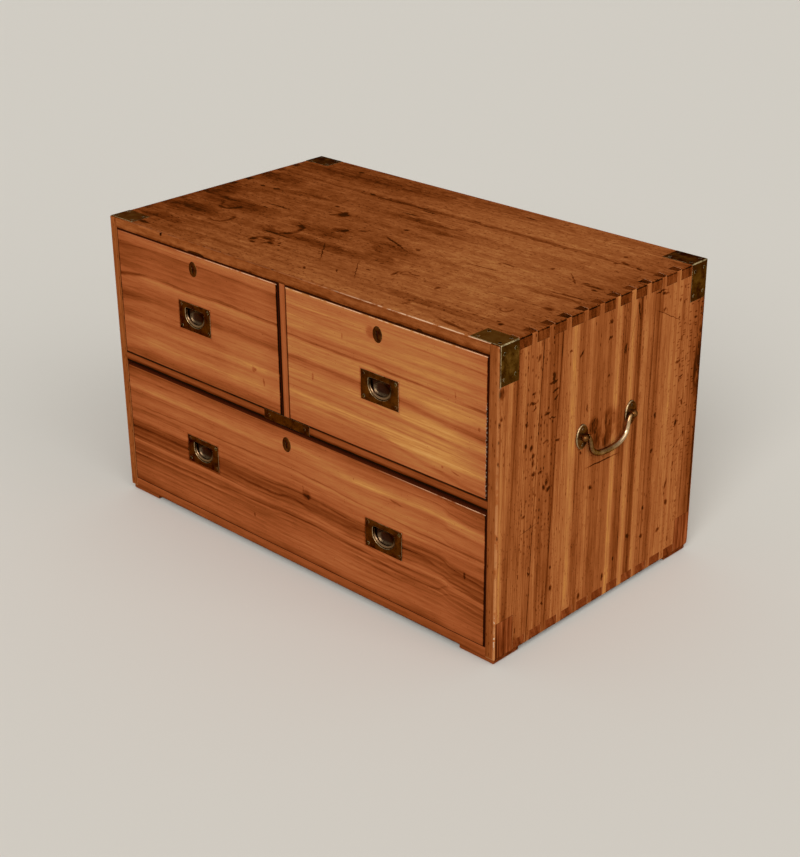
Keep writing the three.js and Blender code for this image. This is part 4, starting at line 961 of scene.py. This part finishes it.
def addMesh(name, points, faces, finishName, sharp=35):
    mesh = bpy.data.meshes.new(name)
    mesh.from_pydata([tuple(p) for p in points], [], faces)
    work = bmesh.new()
    work.from_mesh(mesh)
    bmesh.ops.remove_doubles(work, verts=work.verts, dist=0.00001)
    bmesh.ops.recalc_face_normals(work, faces=work.faces)
    work.to_mesh(mesh)
    work.free()
    mesh.polygons.foreach_set("use_smooth", [True] * len(mesh.polygons))
    mesh.set_sharp_from_angle(angle=math.radians(sharp))
    mesh.materials.append(finishes[finishName])
    piece = bpy.data.objects.new(name, mesh)
    scene.collection.objects.link(piece)
    return piece


def loft(rings, closed=(True, True)):
    count = len(rings[0])
    faces = []
    for r in range(len(rings) - 1):
        for i in range(count):
            j = (i + 1) % count
            faces.append((r * count + i, r * count + j, (r + 1) * count + j, (r + 1) * count + i))
    if closed[0]:
        faces.append(tuple(range(count)))
    if closed[1]:
        faces.append(tuple(range((len(rings) - 1) * count, len(rings) * count)))
    return [point for ring in rings for point in ring], faces


def together(pieces):  # several (points, faces) pairs as one
    points, faces = [], []
    for more, moreFaces in pieces:
        faces += [tuple(i + len(points) for i in face) for face in moreFaces]
        points = points + more
    return points, faces


def turns(count):  # angles evenly round a circle
    return [2 * math.pi * k / count for k in range(count)]


def reach(outline, centre, angle):  # how far an outline lies from its centre in one direction
    dx, dz = math.cos(angle), math.sin(angle)
    best = 0.0
    tiny = 1e-9
    for (ax, az), (bx, bz) in zip(outline, outline[1:] + outline[:1]):
        ax, az, bx, bz = ax - centre[0], az - centre[1], bx - centre[0], bz - centre[1]
        ex, ez = bx - ax, bz - az
        cross = dx * ez - dz * ex
        if abs(cross) < tiny * mm:
            continue
        distance = (ax * ez - az * ex) / cross
        share = (ax * dz - az * dx) / cross
        if distance > 0 and -tiny <= share <= 1 + tiny:
            best = max(best, distance)
    return best


def arc(cx, cz, rx, rz, start, end, steps):
    angles = [math.radians(start + (end - start) * i / steps) for i in range(steps + 1)]
    return [(cx + rx * math.cos(a), cz + rz * math.sin(a)) for a in angles]


def roundedOutline(width, height, radius, steps=4):
    w, h = width / 2 - radius, height / 2 - radius
    return (arc(w, h, radius, radius, 0, 90, steps) + arc(-w, h, radius, radius, 90, 180, steps)
            + arc(-w, -h, radius, radius, 180, 270, steps) + arc(w, -h, radius, radius, 270, 360, steps))


def bearings(centre, points, count):  # even angles round a centre, and those at which the points lie
    own = [math.atan2(p[1] - centre[1], p[0] - centre[0]) for p in points]
    return sorted({round(a % (2 * math.pi), 5) for a in own + turns(count)})


flushHandle = {
    "plate": (82 * mm, 51 * mm), "plateCorner": 1.5 * mm, "plateThickness": 2.2 * mm,
    "dishHalf": 25 * mm, "dishTop": 16 * mm, "dishCorner": 5 * mm, "curveCentre": 3 * mm,
    "curveDrop": 20 * mm, "ledge": 5.4 * mm, "wall": 2 * mm, "floor": 1.6 * mm,
    "bowl": (18 * mm, 12.5 * mm), "bowlDepth": 5 * mm, "bowlRise": -0.5 * mm, "bowlLip": 0.3 * mm,
    "bailGap": 0.6 * mm, "pivot": 10 * mm, "setBack": 0.4 * mm, "bailThickness": 4 * mm,
    "armWidth": 3.7 * mm, "gripWidth": 5.2 * mm, "capShares": (0.12, 0.5, 0.8, 0.95),
    "pinRadius": 1.2 * mm, "pinEnds": (-1.5 * mm, 1.4 * mm),
    "screws": (35 * mm, 19.5 * mm), "screwProud": 0.05 * mm,
    "face": [  # (outline, inset, depth) in millimetres, from the plate's edge in to the dish's
        ("plate", 0, 0.25), ("plate", 0.1, 0.05), ("plate", 0.5, -0.05), ("dish", -1.0, -0.05),
        ("dish", -0.45, 0.02), ("dish", -0.12, 0.25), ("dish", 0, 0.8),
    ],
    "ledgeRims": [  # the same, with the depth from the ledge that the bail lies on
        ("dish", 0.12, -1.2), ("dish", 0.4, -0.4), ("dish", 1.1, 0), ("bowl", -0.7, 0), ("bowl", -0.2, 0.15),
    ],
}


def dishOutline(look):
    half, top, corner = look["dishHalf"], look["dishTop"], look["dishCorner"]
    return (arc(half - corner, top - corner, corner, corner, 0, 90, 8)
            + arc(corner - half, top - corner, corner, corner, 90, 180, 8)
            + arc(0, look["curveCentre"], half, look["curveDrop"], 180, 360, 40))


def facing(x, z):  # a point drawn on the drawer front: across, up, and depth into the wood
    return lambda across, up, depth: Vector((x + across, drawerFace + depth, z + up))


def addHandlePlate(node, body, x, z):
    look = flushHandle
    put = facing(x, z)
    centre = (0.0, look["bowlRise"])
    plate = roundedOutline(*look["plate"], look["plateCorner"])
    dish = dishOutline(look)
    bowl = arc(0, look["bowlRise"], *look["bowl"], 0, 360, 64)[:-1]
    angles = bearings(centre, plate + dish[:18:2], 72)
    reaches = {key: [reach(outline, centre, a) for a in angles]
               for key, outline in {"plate": plate, "dish": dish, "bowl": bowl}.items()}

    def ring(key, inset, depth, scale=1.0):
        spans = [(r - inset) * scale for r in reaches[key]]
        return [put(r * math.cos(a), centre[1] + r * math.sin(a), depth) for r, a in zip(spans, angles)]

    ledge, wall, lip = look["ledge"], look["wall"], look["bowlLip"]
    rings = [
        ring("dish", -wall, ledge + look["bowlDepth"] + look["floor"]),
        ring("dish", -wall, look["plateThickness"]), ring("plate", 0, look["plateThickness"]),
    ]
    rings += [ring(key, inset * mm, depth * mm) for key, inset, depth in look["face"]]
    rings += [ring(key, inset * mm, ledge + depth * mm) for key, inset, depth in look["ledgeRims"]]
    for step in range(1, 9):
        turn = math.pi / 2 * step / 9
        depth = ledge + lip + (look["bowlDepth"] - lip) * math.sin(turn)
        rings.append(ring("bowl", 0, depth, math.cos(turn)))
    piece = addMesh(node + "_shown", *loft(rings), "plateBrass", 50)
    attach(piece, body)
    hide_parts(node)


def addFlushBail(node, body, x, z):
    look = flushHandle
    put = facing(x, z)
    half = look["dishHalf"] - look["bailGap"]
    drop = look["curveDrop"] - look["bailGap"]
    low, high = look["curveCentre"], look["pivot"]
    edge = [((-half, high - (high - low) * i / 5), (1.0, 0.0)) for i in range(5)]
    for i in range(41):
        a = math.pi + math.pi * i / 40
        inward = Vector((-math.cos(a) / half, -math.sin(a) / drop)).normalized()
        edge.append(((half * math.cos(a), low + drop * math.sin(a)), tuple(inward)))
    edge += [((half, low + (high - low) * (i + 1) / 5), (-1.0, 0.0)) for i in range(5)]
    middleDepth = look["setBack"] + look["bailThickness"] / 2
    rings = []

    def section(point, inward, width, thickness):
        cx, cz = point[0] + inward[0] * width / 2, point[1] + inward[1] * width / 2
        ring = []
        for turn in turns(16):
            bulge = [math.copysign(abs(v) ** 0.75, v) for v in (math.cos(turn), math.sin(turn))]
            side = bulge[0] * width / 2
            depth = middleDepth + bulge[1] * thickness / 2
            ring.append(put(cx + inward[0] * side, cz + inward[1] * side, depth))
        return ring

    def capped(point, inward, order):
        made = []
        for share in order:
            size = math.sqrt(max(0.0, 1 - share ** 2))
            arm = look["armWidth"]
            shifted = (point[0] + inward[0] * (arm - arm * size) / 2, point[1] + share * arm / 2)
            made.append(section(shifted, inward, arm * size, look["bailThickness"] * (0.4 + 0.6 * size)))
        return made

    rings += capped(*edge[0], reversed(look["capShares"]))
    for index, (point, inward) in enumerate(edge):
        share = math.sin(math.pi * index / (len(edge) - 1)) ** 2
        width = look["armWidth"] + (look["gripWidth"] - look["armWidth"]) * share
        rings.append(section(point, inward, width, look["bailThickness"]))
    rings += capped(*edge[-1], look["capShares"])
    radius = look["pinRadius"]
    pins = [[[put(sign * (half + end), high + radius * math.sin(t), middleDepth + radius * math.cos(t))
              for t in turns(14)] for end in look["pinEnds"]] for sign in (-1, 1)]
    piece = addMesh(node + "_shown", *together([loft(rings), *map(loft, pins)]), "bailBrass")
    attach(piece, body)
    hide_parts(node)


def addKeyplate(node, body, x, z):
    look = keyhole
    put = facing(x, z)
    centre = (0.0, look["rise"])
    half = look["slot"] / 2
    start = -math.degrees(math.acos(half / look["radius"]))
    hole = arc(0, look["rise"], look["radius"], look["radius"], start, 180 - start, 24)
    hole += [(-half, look["slotFoot"]), (half, look["slotFoot"])]
    oval = arc(0, 0, look["plate"][0] / 2, look["plate"][1] / 2, 0, 360, 64)[:-1]
    angles = bearings(centre, [hole[0], *hole[-3:]], 64)
    reaches = {key: [reach(outline, centre, a) for a in angles]
               for key, outline in {"oval": oval, "hole": hole}.items()}
    rings = [[put((r - inset * mm) * math.cos(a), centre[1] + (r - inset * mm) * math.sin(a), depth * mm)
              for r, a in zip(reaches[key], angles)] for key, inset, depth in look["rims"]]
    piece = addMesh(node + "_shown", *loft(rings, (False, False)), "keyBrass", 40)
    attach(piece, body)
    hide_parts(node)


# Slotted screws: each is two half discs with the slot between them, and one fitting's are one piece

screwLook = {
    "radius": 2.9 * mm, "slot": 0.45 * mm, "sides": 20,
    # (share of the radius, height in millimetres)
    "rims": [(1.0, -0.5), (1.0, 0.1), (0.93, 0.22), (0.6, 0.35)],
}


def screwMesh(centre, across, outward, radius):
    look = screwLook
    outward, across = Vector(outward), Vector(across)
    other = outward.cross(across)
    start = math.asin(look["slot"] / radius)
    angles = [start + (math.pi - 2 * start) * k / look["sides"] for k in range(look["sides"] + 1)]
    halves = []
    for sign in (-1, 1):
        rings = []
        for share, lift in look["rims"]:
            size = radius * share
            rim = [(math.cos(t) * size, max(math.sin(t) * size, look["slot"])) for t in angles]
            rings.append([centre + across * u + other * sign * v + outward * lift * mm for u, v in rim])
        halves.append(loft(rings))
    return together(halves)


def addScrews(name, body, places, finishName="screwBrass", radius=screwLook["radius"]):
    # each place is (centre, the way of its slot, outward)
    screws = [screwMesh(Vector(centre), across, outward, radius) for centre, across, outward in places]
    piece = addMesh(name, *together(screws), finishName, 40)
    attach(piece, body)


def slanted(degrees, first, second):  # the way a screw's slot lies on its face
    turn = math.radians(degrees)
    return Vector(first) * math.cos(turn) + Vector(second) * math.sin(turn)


flushPlaces = [  # (drawer, the ending of its handle's name, the bail's body)
    ("upper_left_drawer", "", "upper_left_flush_bail"), ("upper_right_drawer", "", "upper_right_flush_bail"),
    ("lower_drawer", "_left", "lower_left_flush_bail"), ("lower_drawer", "_right", "lower_right_flush_bail"),
]
for drawer, end, bailBody in flushPlaces:
    plateNode = drawer + "_handle_plate" + end
    x, z = middleOf(plateNode)
    addHandlePlate(plateNode, drawer, x, z)
    addFlushBail(drawer + "_bail" + end, bailBody, x, z)
    screws = []
    across, up = flushHandle["screws"]
    for index, (sideways, upward) in enumerate(((-1, 1), (1, 1), (-1, -1), (1, -1))):
        centre = (x + sideways * across, drawerFace - flushHandle["screwProud"], z + upward * up)
        screws.append((centre, slanted(25 + 67 * index + x * 300, (1, 0, 0), (0, 0, 1)), (0, -1, 0)))
    # two screws of each plate carry a painted glint in the screw brass, the other two the plate's brass
    addScrews(plateNode + "_bright_screws", drawer, screws[1:3])
    addScrews(plateNode + "_dull_screws", drawer, screws[:1] + screws[3:], "plateBrass")
for drawer in frontMarks:
    addKeyplate(drawer + "_keyplate", drawer, *middleOf(drawer + "_keyplate"))
print("flush handles and keyplates")

# Corner straps' screws

strapScrews = {"spread": 12.5 * mm, "skew": 1.2 * mm, "down": (13.4 * mm, 54.4 * mm),
               "inward": (9.4 * mm, 51.4 * mm)}
for end in ("front", "back"):
    for side, way in (("right", 1), ("left", -1)):
        low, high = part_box(f"strap_{end}_{side}")
        x, y = high.x if way > 0 else low.x, (low.y + high.y) / 2
        screws = []
        for row, down in enumerate(strapScrews["down"]):  # on the case's side
            for column in (-1, 1):
                centre = (x, y + column * strapScrews["spread"], high.z - down + column * strapScrews["skew"])
                across = slanted(40 + 71 * row + 47 * column, (0, 1, 0), (0, 0, 1))
                screws.append((centre, across, (way, 0, 0)))
        for row, inward in enumerate(strapScrews["inward"]):  # on its top
            for column in (-1, 1):
                centre = (x - way * inward, y + column * strapScrews["spread"], high.z)
                screws.append((centre, slanted(15 + 59 * row + 33 * column, (1, 0, 0), (0, 1, 0)), (0, 0, 1)))
        addScrews(f"strap_{end}_{side}_screws", "case", screws)
railScrews = {"inward": 12 * mm, "slots": (30, 80)}  # from the plate's ends, and the turns of their slots
low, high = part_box("rail_plate")
addScrews("rail_plate_screws", "case", [
    ((x, low.y, (low.z + high.z) / 2), slanted(degrees, (1, 0, 0), (0, 0, 1)), (0, -1, 0))
    for x, degrees in zip((low.x + railScrews["inward"], high.x - railScrews["inward"]), railScrews["slots"])
], "plateBrass")

# Carrying handles

carry = {
    "wall": sideWall[1].x, "height": 0.330, "shift": 3 * mm, "halfSpan": 63 * mm, "standoff": 7.5 * mm,
    "ball": 6.5 * mm, "ballTurn": 125, "drop": 41.5 * mm, "neck": 3.5 * mm, "grip": 5.0 * mm,
    "collar": (4.6 * mm, 4.7 * mm), "gap": 0.3 * mm, "pin": 2.4 * mm, "pinEnds": (-1 * mm, 3 * mm),
    "rose": (15 * mm, 21.5 * mm), "roseNeck": 6.6 * mm, "screw": 2.2 * mm, "screwUp": 13.5 * mm,
    "screwProud": 2.85 * mm,
    "rims": [  # (inset, height over the wall) in millimetres and how much it is the neck's circle
        (0, 0.02, 0), (0, 1.3, 0), (0.35, 2.1, 0), (1.1, 2.7, 0), (2.2, 2.9, 0), (2.2, 3.1, 0.75),
    ],
    "path": [  # (share of the half span, share of the drop), from a knuckle to the grip's middle
        (1, 0), (0.97, 0.01), (0.93, 0.08), (0.88, 0.21), (0.845, 0.43), (0.78, 0.65), (0.64, 0.82),
        (0.44, 0.94), (0.2, 0.99), (0, 1),
    ],
}


def bezier(a, b, c, d, steps):
    made = []
    for i in range(steps):
        t = i / steps
        weights = ((1 - t) ** 3, 3 * t * (1 - t) ** 2, 3 * t * t * (1 - t), t ** 3)
        made.append(tuple(sum(w * p[k] for w, p in zip(weights, (a, b, c, d))) for k in (0, 1)))
    return made


def roseOutline(w, h):
    tip, foot = (0, h), (0, -h)
    return (bezier(tip, (-0.5 * w, 0.98 * h), (-w, 0.54 * h), (-w, 0), 12)
            + bezier((-w, 0), (-w, -0.54 * h), (-0.5 * w, -0.98 * h), foot, 12)
            + bezier(foot, (0.5 * w, -0.98 * h), (w, -0.54 * h), (w, 0), 12)
            + bezier((w, 0), (w, 0.54 * h), (0.5 * w, 0.98 * h), tip, 12))


def addRose(side, way, end, sign):
    look = carry
    outline = roseOutline(*look["rose"])
    angles = [math.atan2(p[1], p[0]) for p in outline]
    reaches = [math.hypot(*p) for p in outline]
    y = look["shift"] + sign * look["halfSpan"]

    def ring(inset, lift, circle=0.0, radius=0.0):
        spans = [(r - inset) * (1 - circle) + radius * circle for r in reaches]
        return [Vector((way * (look["wall"] + lift), y + r * math.cos(a), look["height"] + r * math.sin(a)))
                for r, a in zip(spans, angles)]

    rings = [ring(inset * mm, lift * mm, circle, look["roseNeck"]) for inset, lift, circle in look["rims"]]
    for i in range(17):
        turn = math.radians(look["ballTurn"]) * (1 - i / 16)
        radius = max(look["ball"] * math.sin(turn), 0.02 * mm)
        rings.append(ring(0, look["standoff"] + look["ball"] * math.cos(turn), 1.0, radius))
    piece = addMesh(f"{side}_handle_rose_{end}_shown", *loft(rings), "roseBrass", 40)
    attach(piece, "case")
    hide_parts(f"{side}_handle_rose_{end}")


def smoothPath(points, steps):  # a smooth curve through the points
    made = []
    padded = [points[0] * 2 - points[1]] + points + [points[-1] * 2 - points[-2]]
    for i in range(1, len(padded) - 2):
        p0, p1, p2, p3 = padded[i - 1:i + 3]
        for k in range(steps):
            t = k / steps
            made.append(0.5 * (2 * p1 + (p2 - p0) * t + (2 * p0 - 5 * p1 + 4 * p2 - p3) * t * t
                               + (3 * p1 - p0 - 3 * p2 + p3) * t ** 3))
    return made + [points[-1]]


def addCarryBail(side, way):
    look = carry
    neckEnd = look["halfSpan"] - look["ball"] - look["gap"]
    x = way * (look["wall"] + look["standoff"])
    whole = [Vector((x, look["shift"] + sign * across * neckEnd, look["height"] - down * look["drop"]))
             for sign, shares in ((1, look["path"]), (-1, look["path"][-2::-1])) for across, down in shares]
    path = smoothPath(whole, 6)
    last = len(path) - 1
    rings = []
    for index, point in enumerate(path):
        ahead = (path[min(index + 1, last)] - path[max(index - 1, 0)]).normalized()
        flat = Vector((1, 0, 0))
        other = ahead.cross(flat).normalized()
        share = math.sin(math.pi * index / last)
        radius = look["neck"] + (look["grip"] - look["neck"]) * share ** 2
        if min(index, last - index) < len(look["collar"]):
            radius = look["collar"][min(index, last - index)]
        rings.append([point + flat * radius * math.cos(t) + other * radius * math.sin(t) for t in turns(20)])

    def pinRing(y):
        rim = [(math.cos(t) * look["pin"], math.sin(t) * look["pin"]) for t in turns(16)]
        return [Vector((x + outward, y, look["height"] + up)) for outward, up in rim]

    pins = [[pinRing(look["shift"] + sign * (neckEnd + end)) for end in look["pinEnds"]] for sign in (-1, 1)]
    made = together([loft(rings), *map(loft, pins)])
    piece = addMesh(f"{side}_handle_bail_shown", *made, "handledBrass")
    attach(piece, f"{side}_carry_bail")
    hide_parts(f"{side}_handle_bail")


for side, way in (("right", 1), ("left", -1)):
    addCarryBail(side, way)
    screws = []
    for end, sign in (("back", 1), ("front", -1)):
        addRose(side, way, end, sign)
        y = carry["shift"] + sign * carry["halfSpan"]
        for up in (-1, 1):
            centre = (way * (carry["wall"] + carry["screwProud"]), y, carry["height"] + up * carry["screwUp"])
            screws.append((centre, slanted(30 + 55 * up + 20 * sign, (0, 1, 0), (0, 0, 1)), (way, 0, 0)))
    addScrews(f"{side}_rose_screws", "case", screws, radius=carry["screw"])
print("carrying handles")

# Floor, world and the end

stageLook = {
    "floorHalf": 200.0, "floor": "d6d2ca", "floorRough": 0.9,
    "sky": (0.96, 0.94, 0.90, 1), "skyStrength": 0.45,
}
half = stageLook["floorHalf"]
floorMesh = bpy.data.meshes.new("floor")
corners = [(-half, -half, 0), (half, -half, 0), (half, half, 0), (-half, half, 0)]
floorMesh.from_pydata(corners, [], [(0, 1, 2, 3)])
floorMesh.materials.append(Finish("paleFloor").surface({
    "Base Color": tone(stageLook["floor"]), "Roughness": stageLook["floorRough"]}))
floor = bpy.data.objects.new("floor", floorMesh)
scene.collection.objects.link(floor)

world = bpy.data.worlds.new("studio")
world.use_nodes = True
sky = world.node_tree.nodes["Background"]
sky.inputs["Color"].default_value = stageLook["sky"]
sky.inputs["Strength"].default_value = stageLook["skyStrength"]
scene.world = world

addCamera(cameraLook)
for lamp in lampLooks:
    addLamp(lamp)
scene.view_settings.view_transform = "Standard"
print("stage")
